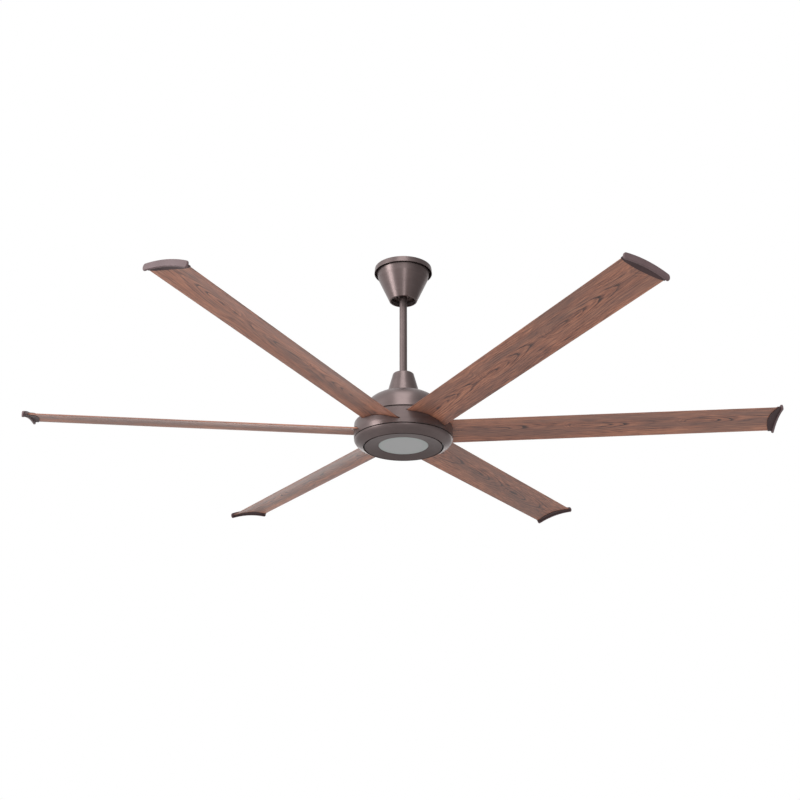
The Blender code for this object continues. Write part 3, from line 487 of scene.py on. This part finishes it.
def spun_metal(name, light, dark, roughness, metallic, anisotropy, grain=900):
    """Metal turned on a lathe: fine rings round the axis, faint clouds and a stretched gloss."""
    material, tree, shader, place = new_material(name)
    x, y, z = node(tree, "SeparateXYZ", {0: place}).outputs
    radius = maths(tree, "MAXIMUM", maths(tree, "SQRT", maths(tree, "ADD", maths(tree, "MULTIPLY", x, x),
                   maths(tree, "MULTIPLY", y, y))), 0.0001)
    around = combined(tree, maths(tree, "DIVIDE", x, radius), maths(tree, "DIVIDE", y, radius),
                      maths(tree, "MULTIPLY", z, grain))
    rings = noise(tree, around, 1, 3, maths(tree, "MULTIPLY", radius, grain))
    clouds = noise(tree, place, 38, 3)
    tone = maths(tree, "ADD", maths(tree, "MULTIPLY", rings, 0.55), maths(tree, "MULTIPLY", clouds, 0.45))
    settle(tree, shader, Base_Color=ramp(tree, tone, ((0.35, dark), (0.65, light))), Metallic=metallic,
           Roughness=scaled(tree, rings, roughness - 0.05, roughness + 0.05), Anisotropic=anisotropy,
           Anisotropic_Rotation=0.25)
    tangent = node(tree, "Tangent", direction_type="RADIAL", axis="Z")
    tree.links.new(tangent.outputs[0], shader.inputs["Tangent"])
    bump(tree, shader, rings, 0.00004, 0.5)
    return material


def plain_metal(name, light, dark, roughness, metallic=1.0, scale=60, relief=0.00003):
    """Plated, cast or machined metal with clouds of tone and a fine tooth."""
    material, tree, shader, place = new_material(name)
    clouds = noise(tree, place, scale, 4)
    tooth = noise(tree, place, scale * 25, 2)
    settle(tree, shader, Base_Color=ramp(tree, clouds, ((0.35, dark), (0.65, light))), Metallic=metallic,
           Roughness=scaled(tree, tooth, roughness - 0.06, roughness + 0.06))
    bump(tree, shader, tooth, relief, 0.6)
    return material


def layered_steel(name, light, dark):
    """A stack of thin steel sheets, seen as fine level lines."""
    material, tree, shader, place = new_material(name)
    z = node(tree, "SeparateXYZ", {0: place}).outputs[2]
    sheets = maths(tree, "FRACT", maths(tree, "MULTIPLY", z, 2000))
    edge = maths(tree, "PINGPONG", sheets, 0.5)
    settle(tree, shader, Base_Color=ramp(tree, edge, ((0.0, dark), (0.25, light))), Metallic=0.8,
           Roughness=0.45)
    bump(tree, shader, edge, 0.0001)
    return material


def wound_wire(name, light, dark):
    """Varnished wire, wound in turns that run level round each tooth."""
    material, tree, shader, place = new_material(name)
    z = node(tree, "SeparateXYZ", {0: place}).outputs[2]
    wire = maths(tree, "SINE", maths(tree, "MULTIPLY", z, math.tau / 0.0008))
    clouds = noise(tree, place, 300, 2)
    tone = maths(tree, "ADD", maths(tree, "MULTIPLY", wire, 0.2), clouds)
    settle(tree, shader, Base_Color=ramp(tree, tone, ((0.3, dark), (0.7, light))), Metallic=0.7,
           Roughness=0.3)
    bump(tree, shader, wire, 0.0002)
    return material


def moulded(name, light, dark, roughness, relief=0.00006, scale=900, specular=0.5):
    """Moulded or lacquered material with a fine matt texture and faint clouds."""
    material, tree, shader, place = new_material(name)
    texture = noise(tree, place, scale, 3)
    clouds = noise(tree, place, 24, 3)
    settle(tree, shader, Base_Color=ramp(tree, clouds, ((0.35, dark), (0.65, light))),
           Roughness=scaled(tree, texture, roughness - 0.05, roughness + 0.05), Specular_IOR_Level=specular)
    bump(tree, shader, texture, relief, 0.5)
    return material


def frosted(name, middle, rim, rim_radius):
    """Opal plastic, a little greener where its edge is near."""
    material, tree, shader, place = new_material(name)
    x, y, _ = node(tree, "SeparateXYZ", {0: place}).outputs
    radius = node(tree, "VectorMath", {0: combined(tree, x, y, 0.0)}, operation="LENGTH").outputs["Value"]
    share = stretched(tree, radius, rim_radius * 0.72, rim_radius, 0.0, 1.0)
    speck = noise(tree, place, 1600, 2)
    tone = blended(tree, share, middle, rim)
    speckled = blended(tree, scaled(tree, speck, 0.0, 0.06), tone, tuple(value * 0.8 for value in middle))
    settle(tree, shader, Base_Color=speckled, Roughness=scaled(tree, speck, 0.42, 0.52),
           Subsurface_Weight=0.15, Subsurface_Radius=(0.004, 0.004, 0.004), Subsurface_Scale=0.3)
    bump(tree, shader, speck, 0.00003, 0.4)
    return material


flame_length = 0.3
flame_depths = (0.003, 0.026)
ring_width = 0.0066
wood_tones = ((0.0, (0.050, 0.025, 0.020)), (0.25, (0.155, 0.062, 0.044)), (0.5, (0.345, 0.135, 0.085)),
              (0.75, (0.510, 0.206, 0.123)), (1.0, (0.680, 0.305, 0.176)))
wood_grey = (0.185, 0.108, 0.090)


def grain(tree, along, across, along_scale, across_scale, seed, detail=2):
    """Noise stretched along the blade."""
    place = combined(tree, maths(tree, "MULTIPLY", along, along_scale),
                     maths(tree, "MULTIPLY", across, across_scale), seed)
    return noise(tree, place, 1, detail)


def walnut(name, matrix, seed):
    """Flat-sawn veneer: rings cut as nested flames that point to the tip and repeat along
    the middle of the blade, with knots between them, bands, fibres and short pores. The
    upper face, turned away from the room, is matt."""
    material, tree, shader, place = new_material(name, matrix)
    x, y, z = node(tree, "SeparateXYZ", {0: place}).outputs
    along = maths(tree, "ADD", x, seed)
    sway = maths(tree, "MULTIPLY", maths(tree, "SUBTRACT", grain(tree, along, y, 4, 0, seed), 0.5), 0.022)
    across = maths(tree, "ADD", y, sway)
    drift = maths(tree, "MULTIPLY", grain(tree, along, y, 2.2, 0, seed + 3.0), 0.7)
    cycle = maths(tree, "FRACT", maths(tree, "ADD", maths(tree, "DIVIDE", along, flame_length), drift))
    shallow, deep = flame_depths
    depth = ramp(tree, cycle, ((0.0, shallow), (0.84, deep), (1.0, shallow)), "EASE")
    spread = maths(tree, "SQRT", maths(tree, "ADD", maths(tree, "MULTIPLY", across, across),
                   maths(tree, "MULTIPLY", depth, depth)))
    ripple = maths(tree, "MULTIPLY", grain(tree, along, y, 11, 70, seed, 3), 0.8)
    rings = maths(tree, "ADD", maths(tree, "DIVIDE", spread, ring_width), ripple)
    number = maths(tree, "ADD", maths(tree, "FLOOR", rings), seed)
    weight = node(tree, "TexWhiteNoise", {"W": number}, noise_dimensions="1D").outputs[0]
    line = ramp(tree, maths(tree, "FRACT", rings),
                ((0.0, 0.6), (0.07, 1.0), (0.22, 0.5), (0.38, 0.0), (1.0, 0.0)))
    offset = maths(tree, "ABSOLUTE", across)
    centred = stretched(tree, offset, 0.012, 0.04, 1.0, 0.4)
    broken = ramp(tree, grain(tree, along, y, 20, 90, seed + 5.0), ((0.34, 0.3), (0.54, 1.0)))
    nested = ramp(tree, cycle,
                  ((0.0, 0.5), (0.05, 1.0), (0.8, 1.0), (0.88, 0.25), (0.97, 0.25), (1.0, 0.5)))
    line = maths(tree, "MULTIPLY", line, nested)
    strength = maths(tree, "ADD", maths(tree, "MULTIPLY", weight, 0.8), 0.25)
    figure = maths(tree, "MULTIPLY", maths(tree, "MULTIPLY", line, centred),
                   maths(tree, "MULTIPLY", broken, strength))
    between = ramp(tree, cycle, ((0.0, 0.2), (0.06, 0.0), (0.8, 0.0), (0.9, 1.0), (1.0, 0.2)))
    knots = maths(tree, "MULTIPLY", between, stretched(tree, offset, 0.0008, 0.0034, 1.0, 0.0))
    fine = grain(tree, along, y, 22, 480, z, 4)
    bent = maths(tree, "ADD", spread, maths(tree, "MULTIPLY", across, 0.35))
    streaks = grain(tree, along, bent, 12, 300, seed, 3)
    bands = grain(tree, along, across, 1.6, 34, seed + 7.0)
    pores = ramp(tree, grain(tree, along, y, 60, 1300, z), ((0.6, 0.0), (0.68, 1.0)))
    flecks = ramp(tree, grain(tree, along, y, 30, 260, seed + 9.0), ((0.6, 0.0), (0.72, 1.0)))
    fibres = maths(tree, "ADD", scaled(tree, fine, -0.16, 0.46), scaled(tree, streaks, 0.03, 0.31))
    light = maths(tree, "ADD", fibres, maths(tree, "ADD", scaled(tree, bands, 0.0, 0.26),
                  maths(tree, "MULTIPLY", flecks, 0.14)))
    spots = maths(tree, "ADD", maths(tree, "MULTIPLY", knots, 0.35), maths(tree, "MULTIPLY", pores, 0.16))
    shade = maths(tree, "ADD", maths(tree, "MULTIPLY", figure, 0.9), spots)
    tone = maths(tree, "ADD", maths(tree, "SUBTRACT", light, shade), 0.16, clamp=True)
    cloud = ramp(tree, grain(tree, along, y, 2.5, 22, seed + 11.0), ((0.42, 0.0), (0.62, 0.5)))
    colour = blended(tree, cloud, ramp(tree, tone, wood_tones), wood_grey)
    shifted = maths(tree, "ADD", y, blade_shift)
    curve = maths(tree, "MULTIPLY", maths(tree, "MULTIPLY", shifted, shifted), blade_camber / half_chord**2)
    above = maths(tree, "SUBTRACT", maths(tree, "ADD", z, curve), blade_camber)
    matt = stretched(tree, above, -0.0002, 0.0002, 0.0, 0.35)
    gloss = maths(tree, "ADD", scaled(tree, fine, 0.42, 0.47), matt)
    settle(tree, shader, Base_Color=colour, Roughness=gloss, Specular_IOR_Level=0.85)
    bump(tree, shader, maths(tree, "SUBTRACT", fine, maths(tree, "MULTIPLY", pores, 0.6)), 0.00002, 0.4)
    return material


def blade_frame(index):
    """The frame of a blade: x along it, y across it and z up through its upper face."""
    turns = ((-blade_pitch, "X"), (-blade_rise, "Y"), (360 * index / blade_count, "Z"))
    matrix = Matrix.Identity(4)
    for angle, axis in turns:
        matrix = Matrix.Rotation(math.radians(angle), 4, axis) @ matrix
    return Matrix.Translation((0, 0, hub)) @ matrix


bronze = spun_metal("bronze", (0.192, 0.148, 0.144), (0.160, 0.122, 0.119), 0.36, 0.85, 0.5)
# A darker copy of the bronze for the lamp trim: painted shade for the dimmer light under the fan.
trim_bronze = spun_metal("trim_bronze", (0.160, 0.117, 0.113), (0.134, 0.097, 0.094), 0.4, 0.85, 0.3)
# A darker, duller copy of the bronze for the canopy's inside: partly a real unpainted inside, partly painted shade
# in the mouth.
mouth_bronze = spun_metal("mouth_bronze", (0.130, 0.095, 0.092), (0.105, 0.076, 0.073), 0.5, 0.5, 0.0)
rod_bronze = spun_metal("rod_bronze", (0.192, 0.148, 0.144), (0.160, 0.122, 0.119), 0.52, 0.85, 0.0)
cap_finish = moulded("tip_cap", (0.185, 0.122, 0.127), (0.152, 0.098, 0.103), 0.46, relief=0.00002,
                     scale=700, specular=0.3)
# A darker copy of the cap's finish for its sleeve: painted shade under the bar.
sleeve_shade = moulded("cap_sleeve", (0.092, 0.056, 0.058), (0.074, 0.044, 0.046), 0.5, relief=0.00002,
                        scale=700, specular=0.2)
# The lens's grey is painted shade: a whiter opal darkened for the little light that reaches it from below.
opal = frosted("opal_lens", (0.51, 0.51, 0.51), (0.465, 0.50, 0.483), lens_opening[0])
# Dark primer: partly the real unpainted inside of the shells, partly painted shade in their hollows; on groove and
# seam walls it is painted shade only.
primer_and_painted_shade = moulded("dark_primer", (0.072, 0.052, 0.049), (0.050, 0.036, 0.035), 0.7, specular=0.2)
woods = [walnut("blade_wood_%d" % (index + 1), blade_frame(index), 0.37 * index)
         for index in range(blade_count)]
finishes = {
    "zinc": plain_metal("zinc", (0.270, 0.220, 0.213), (0.200, 0.160, 0.154), 0.5),
    "steel": plain_metal("steel", (0.58, 0.58, 0.59), (0.46, 0.46, 0.47), 0.3, scale=120),
    # Dark steel for the canopy screws: partly a blackened finish, partly painted shade in the gap under the ring.
    "dark_steel": plain_metal("dark_steel", (0.090, 0.080, 0.078), (0.065, 0.056, 0.055), 0.45, scale=120),
    "earth_screw": plain_metal("earth_screw", (0.20, 0.42, 0.20), (0.14, 0.32, 0.15), 0.35),
    "aluminium": plain_metal("aluminium", (0.66, 0.67, 0.68), (0.56, 0.57, 0.58), 0.5, scale=90,
                             relief=0.0001),
    "laminations": layered_steel("laminations", (0.32, 0.32, 0.34), (0.12, 0.12, 0.13)),
    "copper": wound_wire("copper", (0.72, 0.34, 0.16), (0.45, 0.18, 0.08)),
    "magnet": moulded("magnet", (0.045, 0.045, 0.048), (0.03, 0.03, 0.032), 0.7),
    "housing_plastic": moulded("housing_plastic", (0.70, 0.70, 0.67), (0.64, 0.64, 0.61), 0.5),
    "board": moulded("board", (0.80, 0.80, 0.77), (0.74, 0.74, 0.71), 0.35),
}


def dress_frame():
    """Gives each CAD node that stays in view the finish of its slot, but gives the canopy screws dark steel, which
    is partly a blackened finish and partly painted shade in the gap under the ring.
    """
    for row in frame["record"]["subparts"]:
        finish = finishes.get("dark_steel" if "canopy_screw" in row["node"] else row["material_slot"])
        if finish:
            mesh = frame["nodes"][row["node"]].data
            mesh.materials.clear()
            mesh.materials.append(finish)


# Ceiling mount, rod and housings


def add_turned(name, outline, body, nodes, material=bronze):
    return finished(name, turned_mesh(outline), [material], body, nodes)


def add_shell(name, path, thickness, body, node_name, inner=None, dark=(), materials=(bronze, primer_and_painted_shade)):
    """A shell whose inner side takes the second material, and so do these paths. By default that is the dark
    primer: on the inner side it is partly a real dark inside and partly painted shade, and on these paths it is
    painted shade in a groove or seam.
    """
    outline, inner = shell(path, thickness, inner)
    bm = turned_mesh(outline, [inner, *dark])
    return finished(name, bm, materials, body, [node_name])


def add_canopy():
    mouth = (canopy_mouth[0] - canopy_lip, canopy_mouth[1])
    path = rounded(falling((canopy_rim[0], 0), canopy_rim, canopy_collar, canopy_mouth, mouth),
                   (0, *canopy_rounds, 0))
    # The inside of the canopy takes the darker copy, partly painted shade.
    canopy = add_shell("canopy_shade", path, canopy_sheet, "ceiling_mount", "canopy",
                       materials=(bronze, mouth_bronze))
    hole_radius, depth = screw_hole
    holes = bmesh.new()
    for side in (-1, 1):
        pin_mesh(holes, hole_radius, (side * (canopy_rim[0] - screw_reach), 0, -depth),
                 (side * (canopy_rim[0] + screw_reach), 0, -depth))
    cut(canopy, [holes])
    path = rounded(falling((canopy_rim[0] + ring_gap, 0), (ring_top, 0), ring_foot), (0, ring_round, 0))
    add_shell("canopy_screw_ring", path, ring_sheet, "ceiling_mount", "canopy_ring")


def add_rod():
    low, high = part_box("downrod")
    bore = rod_radius - rod_wall
    corners = ((bore, high.z), (rod_radius, high.z), (rod_radius, low.z), (bore, low.z))
    outline = rounded(corners, (edge_round,) * 4, True)
    rod = add_turned("hanging_rod", outline, "hanging_frame", ["downrod"], rod_bronze)
    ball = next(joint["pos_m"][2] for joint in frame["joints"] if joint["name"] == "hanger_tilt")
    reach = rod_radius * 2
    holes = bmesh.new()
    pin_mesh(holes, pin_hole, (-reach, 0, ball), (reach, 0, ball))
    pin_mesh(holes, pin_hole, (0, -reach, low.z + clevis_drop), (0, reach, low.z + clevis_drop))
    cut(rod, [holes])


def add_housings():
    path = rounded([(rod_radius + gap, cover_top[1]), cover_top, cover_foot], (0, cover_round, 0))
    add_shell("rod_cover", lifted(path, hub), cover_sheet, "hanging_frame", "coupling_cover")

    shoulder = crossing(neck, crown_slope, housing_foot, wall_slope)
    path = rounded([(neck_hole, neck[1]), neck, shoulder, housing_foot], (0, neck_round, shoulder_round, 0))
    add_shell("motor_dome", lifted(path, hub), housing_sheet, "hanging_frame", "upper_housing")

    inward, down = bowl_corner_shares
    corner = (bowl_rim[0] - (bowl_rim[0] - bowl_foot[0]) * inward,
              bowl_rim[1] - (bowl_rim[1] - bowl_foot[1]) * down)
    path = lifted(rounded([bowl_rim, corner, bowl_foot], (0, bowl_round, 0)), hub)
    inner = inner_side(path, bowl_sheet)
    top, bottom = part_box("light_kit_plate")[0].z - gap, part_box("led_plate")[1].z + gap
    ledge = radius_at(inner, bottom) - ledge_width
    step = [(radius_at(inner, top), top), (ledge, top), (ledge, bottom), (radius_at(inner, bottom), bottom)]
    inner = ([point for point in inner if point[1] > top] + step
             + [point for point in inner if point[1] < bottom])
    # The bowl foot's end face takes painted shade, for the dark groove round the trim.
    add_shell("bowl", path, bowl_sheet, "hanging_frame", "lower_housing", inner, [[path[-1], inner[-1]]])


def add_lamp():
    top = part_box("light_trim")[1].z - hub
    bottom = bowl_foot[1]
    path = rounded([(trim_radius, top), (trim_radius, bottom), lens_opening], (0, trim_round, 0))
    # The trim's outer wall, inside the groove, takes painted shade.
    wall = [(trim_radius, hub + top), (trim_radius, hub + bottom + trim_round)]
    add_shell("lamp_trim", lifted(path, hub), trim_sheet, "hanging_frame", "light_trim", None, [wall],
              (trim_bronze, primer_and_painted_shade))
    low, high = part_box("lens")
    disc, flange = lens_opening[0] - lens_border, lens_opening[0] + lens_flange
    seat = high.z - lens_thickness
    corners = ((0, high.z), (flange, high.z), (flange, seat), (disc, seat), (disc, low.z), (0, low.z))
    outline = rounded(corners, (0, edge_round, edge_round, 0, lens_round, 0), True)
    add_turned("lamp_lens", outline, "hanging_frame", ["lens"], opal)


# Blades and their caps


def rise_at(across):
    """The height of the cambered face above the chord."""
    return math.sqrt(camber_radius**2 - (across + blade_shift) ** 2) - camber_radius + blade_camber


def sides_at(along):
    """The two edges of a blade: its full chord, or less where its neighbours come close."""
    room = along * math.tan(math.pi / blade_count) - root_gap
    low = max(-room, -half_chord - blade_shift) + blade_edge
    return low, min(room, half_chord - blade_shift) - blade_edge


def half_at(across):
    """Half the blade's thickness, which thins towards its two edges."""
    share = min(1, max(0, (half_chord - abs(across + blade_shift)) / blade_taper))
    return half_edge + (half_thickness - half_edge) * math.sin(math.pi / 2 * share)


def blade_faces(room=0.0):
    """The lower and upper face of a blade, moved outwards by this room."""
    return (lambda across: -half_at(across) - room), (lambda across: half_at(across) + room)


def as_function(value):
    return value if callable(value) else lambda across: value


def strip(along, sides, bottom, top, bulge):
    """A loop round a cambered strip with rounded edges. along, bottom and top are numbers,
    or functions of the place across."""
    run, below, above = as_function(along), as_function(bottom), as_function(top)
    low, high = sides
    shares = [step / chord_steps for step in range(chord_steps + 1)]
    places = [low + (high - low) * (share - chord_crowding * math.sin(math.tau * share))
              for share in shares]
    bends = [math.pi * step / edge_steps for step in range(1, edge_steps)]

    def edge(across, side):
        half, middle = (above(across) - below(across)) / 2, (above(across) + below(across)) / 2
        return [(run(across), across + side * bulge * math.sin(bend),
                 rise_at(across) + middle + side * half * math.cos(bend)) for bend in bends]

    upper = [(run(place), place, rise_at(place) + above(place)) for place in places]
    lower = [(run(place), place, rise_at(place) + below(place)) for place in reversed(places)]
    return upper + edge(high, 1) + lower + edge(low, -1)


def quarter(steps=4):
    """Sine and cosine pairs over a quarter turn."""
    return [(math.sin(math.pi / 2 * step / steps), math.cos(math.pi / 2 * step / steps))
            for step in range(steps + 1)]


def add_band():
    path = lifted(rounded(band_path, band_rounds), hub)
    foot = [path[-1], (path[-1][0] - band_wall, path[-1][1])]
    # The band's foot takes painted shade, for the dark seam above the bowl.
    band = add_shell("slotted_band", path, band_wall, "rotor", "hub_band", dark=[foot])
    sides = sides_at(blade_end)
    end = band_path[3][0] + slot_end_room
    slots = []
    for index in range(blade_count):
        slot = loft_mesh([strip(along, sides, *blade_faces(slot_side_room), blade_edge + slot_end_room)
                          for along in (slot_start, end)])
        bmesh.ops.transform(slot, matrix=blade_frame(index), verts=slot.verts)
        slots.append(slot)
    cut(band, slots, 28)


def add_blades():
    full = [(half_chord + side * blade_shift + root_gap) / math.tan(math.pi / blade_count)
            for side in (-1, 1)]
    stretch = [full[1] + (blade_end - full[1]) * (step + 1) / blade_steps for step in range(blade_steps)]
    loops = [strip(along, sides_at(along), *blade_faces(), blade_edge)
             for along in (blade_root, *full, *stretch)]
    start, length, width = clamp_place
    for index in range(blade_count):
        number = index + 1
        blade = finished("wood_blade_%d" % number, loft_mesh(loops), [woods[index]], "rotor",
                         ["blade_%d" % number], blade_frame(index))
        holes = bmesh.new()
        for share, side in clamp_screw_shares:
            along, across = start + length * share, width * side
            middle = rise_at(across)
            pin_mesh(holes, clamp_hole, (along, across, middle - blade_thickness),
                     (along, across, middle + blade_thickness), 16)
        bmesh.ops.transform(holes, matrix=blade_frame(index), verts=holes.verts)
        cut(blade, [holes])


def cap_layers():
    """The cap as rows of place, lower side, upper side and edge bulge: the floor of its
    pocket, the sleeve round the blade, and the bar from its back to the tip."""
    def border(inset):
        def place(across):
            share = (across + blade_shift) / half_chord
            return tip_along - cap_side_depth - (cap_depth - cap_side_depth) * max(0, 1 - share**2) + inset
        return place

    def sleeve(place, room):
        return (place, *blade_faces(room), blade_edge + room)

    rows = [sleeve(tip_along - cap_floor, gap)]
    half = cap_sleeve / 2
    for sine, cosine in quarter(3):
        rows.append(sleeve(border(half * (1 - sine)), gap + half * (1 - cosine)))
    for sine, cosine in quarter(3)[1:]:
        rows.append(sleeve(border(half * (1 - cosine)), gap + half * (1 + sine)))
    back = tip_along - cap_bar
    for sine, cosine in quarter():
        rows.append(sleeve(back - cap_inner_round * (1 - sine),
                           gap + cap_sleeve + cap_inner_round * (1 - cosine)))
    low = -half_thickness - cap_bar_drop
    high = low + cap_bar_height
    wide = blade_edge + cap_overhang
    for sine, cosine in quarter():
        inset = cap_edge_round * (1 - sine)
        rows.append((back + cap_edge_round * (1 - cosine), low + inset, high - inset, wide - inset))
    for sine, cosine in quarter():
        inset = 1 - cosine
        rows.append((tip_along - cap_skin - cap_end_round * (1 - sine), low + cap_edge_round * inset,
                     high - cap_edge_round * inset, wide - cap_end_round * inset))
    return rows


def add_caps():
    sides = sides_at(blade_end)
    layers = cap_layers()
    loops = [strip(along, sides, bottom, top, bulge) for along, bottom, top, bulge in layers]
    # The sleeve rows take the darker copy, painted shade under the bar.
    sleeve_rows = len(layers) - 2 * len(quarter())
    for index in range(blade_count):
        number = index + 1
        finished("tip_cap_%d" % number, loft_mesh(loops, sleeve_rows), [cap_finish, sleeve_shade], "rotor",
                 ["blade_cap_%d" % number], blade_frame(index), 40)


# Studio


def add_camera():
    data = bpy.data.cameras.new("camera")
    data.lens = lens_length
    camera = bpy.data.objects.new("camera", data)
    bpy.context.scene.collection.objects.link(camera)
    turn = math.radians(view_turn)
    camera.location = Matrix.Rotation(turn, 3, "Z") @ Vector((0, -camera_distance, hub - camera_drop))
    camera.rotation_euler = (math.radians(90 + camera_pitch), 0, turn + math.radians(camera_yaw))
    bpy.context.scene.camera = camera


def add_panel(name, azimuth, elevation, distance, size, radiance):
    """A soft panel that faces the fan. Azimuth is counted from the camera's side, and
    goes to the right; radiance is the brightness of its face."""
    data = bpy.data.lights.new(name, "AREA")
    data.shape = "RECTANGLE"
    data.size, data.size_y = size
    data.energy = radiance * math.pi * size[0] * size[1]
    panel = bpy.data.objects.new(name, data)
    bpy.context.scene.collection.objects.link(panel)
    a, e = math.radians(azimuth), math.radians(elevation)
    away = Vector((math.sin(a) * math.cos(e), -math.cos(a) * math.cos(e), math.sin(e)))
    panel.location = Vector((0, 0, panel_aim)) + away * distance
    panel.rotation_euler = away.to_track_quat("Z", "Y").to_euler()
    panel.visible_camera = False


def add_world():
    """A white surround for the camera and for reflections, where it dims to the right and
    low behind the object, and a plain softer one that lights the object."""
    world = bpy.data.worlds.new("studio")
    bpy.context.scene.world = world
    world.use_nodes = True
    tree = world.node_tree
    direction = node(tree, "TexCoord").outputs["Generated"]
    x, y, z = node(tree, "SeparateXYZ", {0: direction}).outputs
    right = stretched(tree, x, 0.1, 0.85, 0.0, studio_dim[0])
    behind = stretched(tree, y, -0.1, 0.6, 0.0, studio_dim[1])
    low = stretched(tree, z, -0.05, -0.3, 0.0, 1.0)
    behind = maths(tree, "MULTIPLY", behind, low)
    studio = maths(tree, "SUBTRACT", 1.0, maths(tree, "MAXIMUM", right, behind))
    path = node(tree, "LightPath").outputs
    mirrored = maths(tree, "MAXIMUM", path["Is Glossy Ray"], path["Is Transmission Ray"])
    gain = maths(tree, "MULTIPLY", mirrored, maths(tree, "SUBTRACT", studio, ambient))
    level = maths(tree, "ADD", gain, ambient)
    level = maths(tree, "MAXIMUM", level, path["Is Camera Ray"])
    background = tree.nodes["Background"]
    background.inputs["Color"].default_value = (1, 1, 1, 1)
    tree.links.new(level, background.inputs["Strength"])
    world.cycles.sampling_method = "NONE"


def add_floor():
    """A pale floor that holds the object's shadow, with a painted shadow too: darker in a strip under the fan. To
    the camera it fades into the white towards its rim, and is clear from below."""
    bm = bmesh.new()
    angles = [math.tau * step / floor_steps for step in range(floor_steps)]
    bm.faces.new([bm.verts.new((floor_reach * math.cos(angle), floor_reach * math.sin(angle), floor_height))
                  for angle in angles])
    mesh = bpy.data.meshes.new("floor")
    bm.to_mesh(mesh)
    bm.free()
    floor = bpy.data.objects.new("floor", mesh)
    bpy.context.scene.collection.objects.link(floor)
    material = bpy.data.materials.new("floor")
    material.use_nodes = True
    tree = material.node_tree
    shader = tree.nodes["Principled BSDF"]
    place = node(tree, "TexCoord").outputs["Object"]
    speck = noise(tree, place, 2.5, 2)
    aside = maths(tree, "ABSOLUTE", node(tree, "SeparateXYZ", {0: place}).outputs[0])
    # Painted shadow: the floor darkens towards a strip under the fan.
    share = maths(tree, "ADD", stretched(tree, aside, 0.6, 2.4, 0.0, 0.86),
                  maths(tree, "MULTIPLY", speck, 0.14))
    settle(tree, shader, Base_Color=ramp(tree, share, ((0.0, floor_shadow_tone), (1.0, floor_side))),
           Roughness=0.8, Specular_IOR_Level=0.1)
    camera_ray = node(tree, "LightPath").outputs["Is Camera Ray"]
    radius = node(tree, "VectorMath", {0: place}, operation="LENGTH").outputs["Value"]
    rim = stretched(tree, radius, *floor_fade, 0.0, 1.0)
    faded = maths(tree, "MAXIMUM", node(tree, "NewGeometry").outputs["Backfacing"], rim)
    clear = node(tree, "BsdfTransparent")
    unseen = maths(tree, "MULTIPLY", faded, camera_ray)
    last = node(tree, "MixShader", {0: unseen, 1: shader.outputs[0], 2: clear.outputs[0]})
    tree.links.new(last.outputs[0], tree.nodes["Material Output"].inputs["Surface"])
    mesh.materials.append(material)


def build():
    dress_frame()
    add_canopy()
    add_rod()
    add_housings()
    add_lamp()
    add_band()
    add_blades()
    add_caps()
    add_camera()
    add_world()
    add_floor()
    for name, place in panels.items():
        add_panel(name, *place)
    bpy.context.scene.view_settings.view_transform = "Standard"


build()
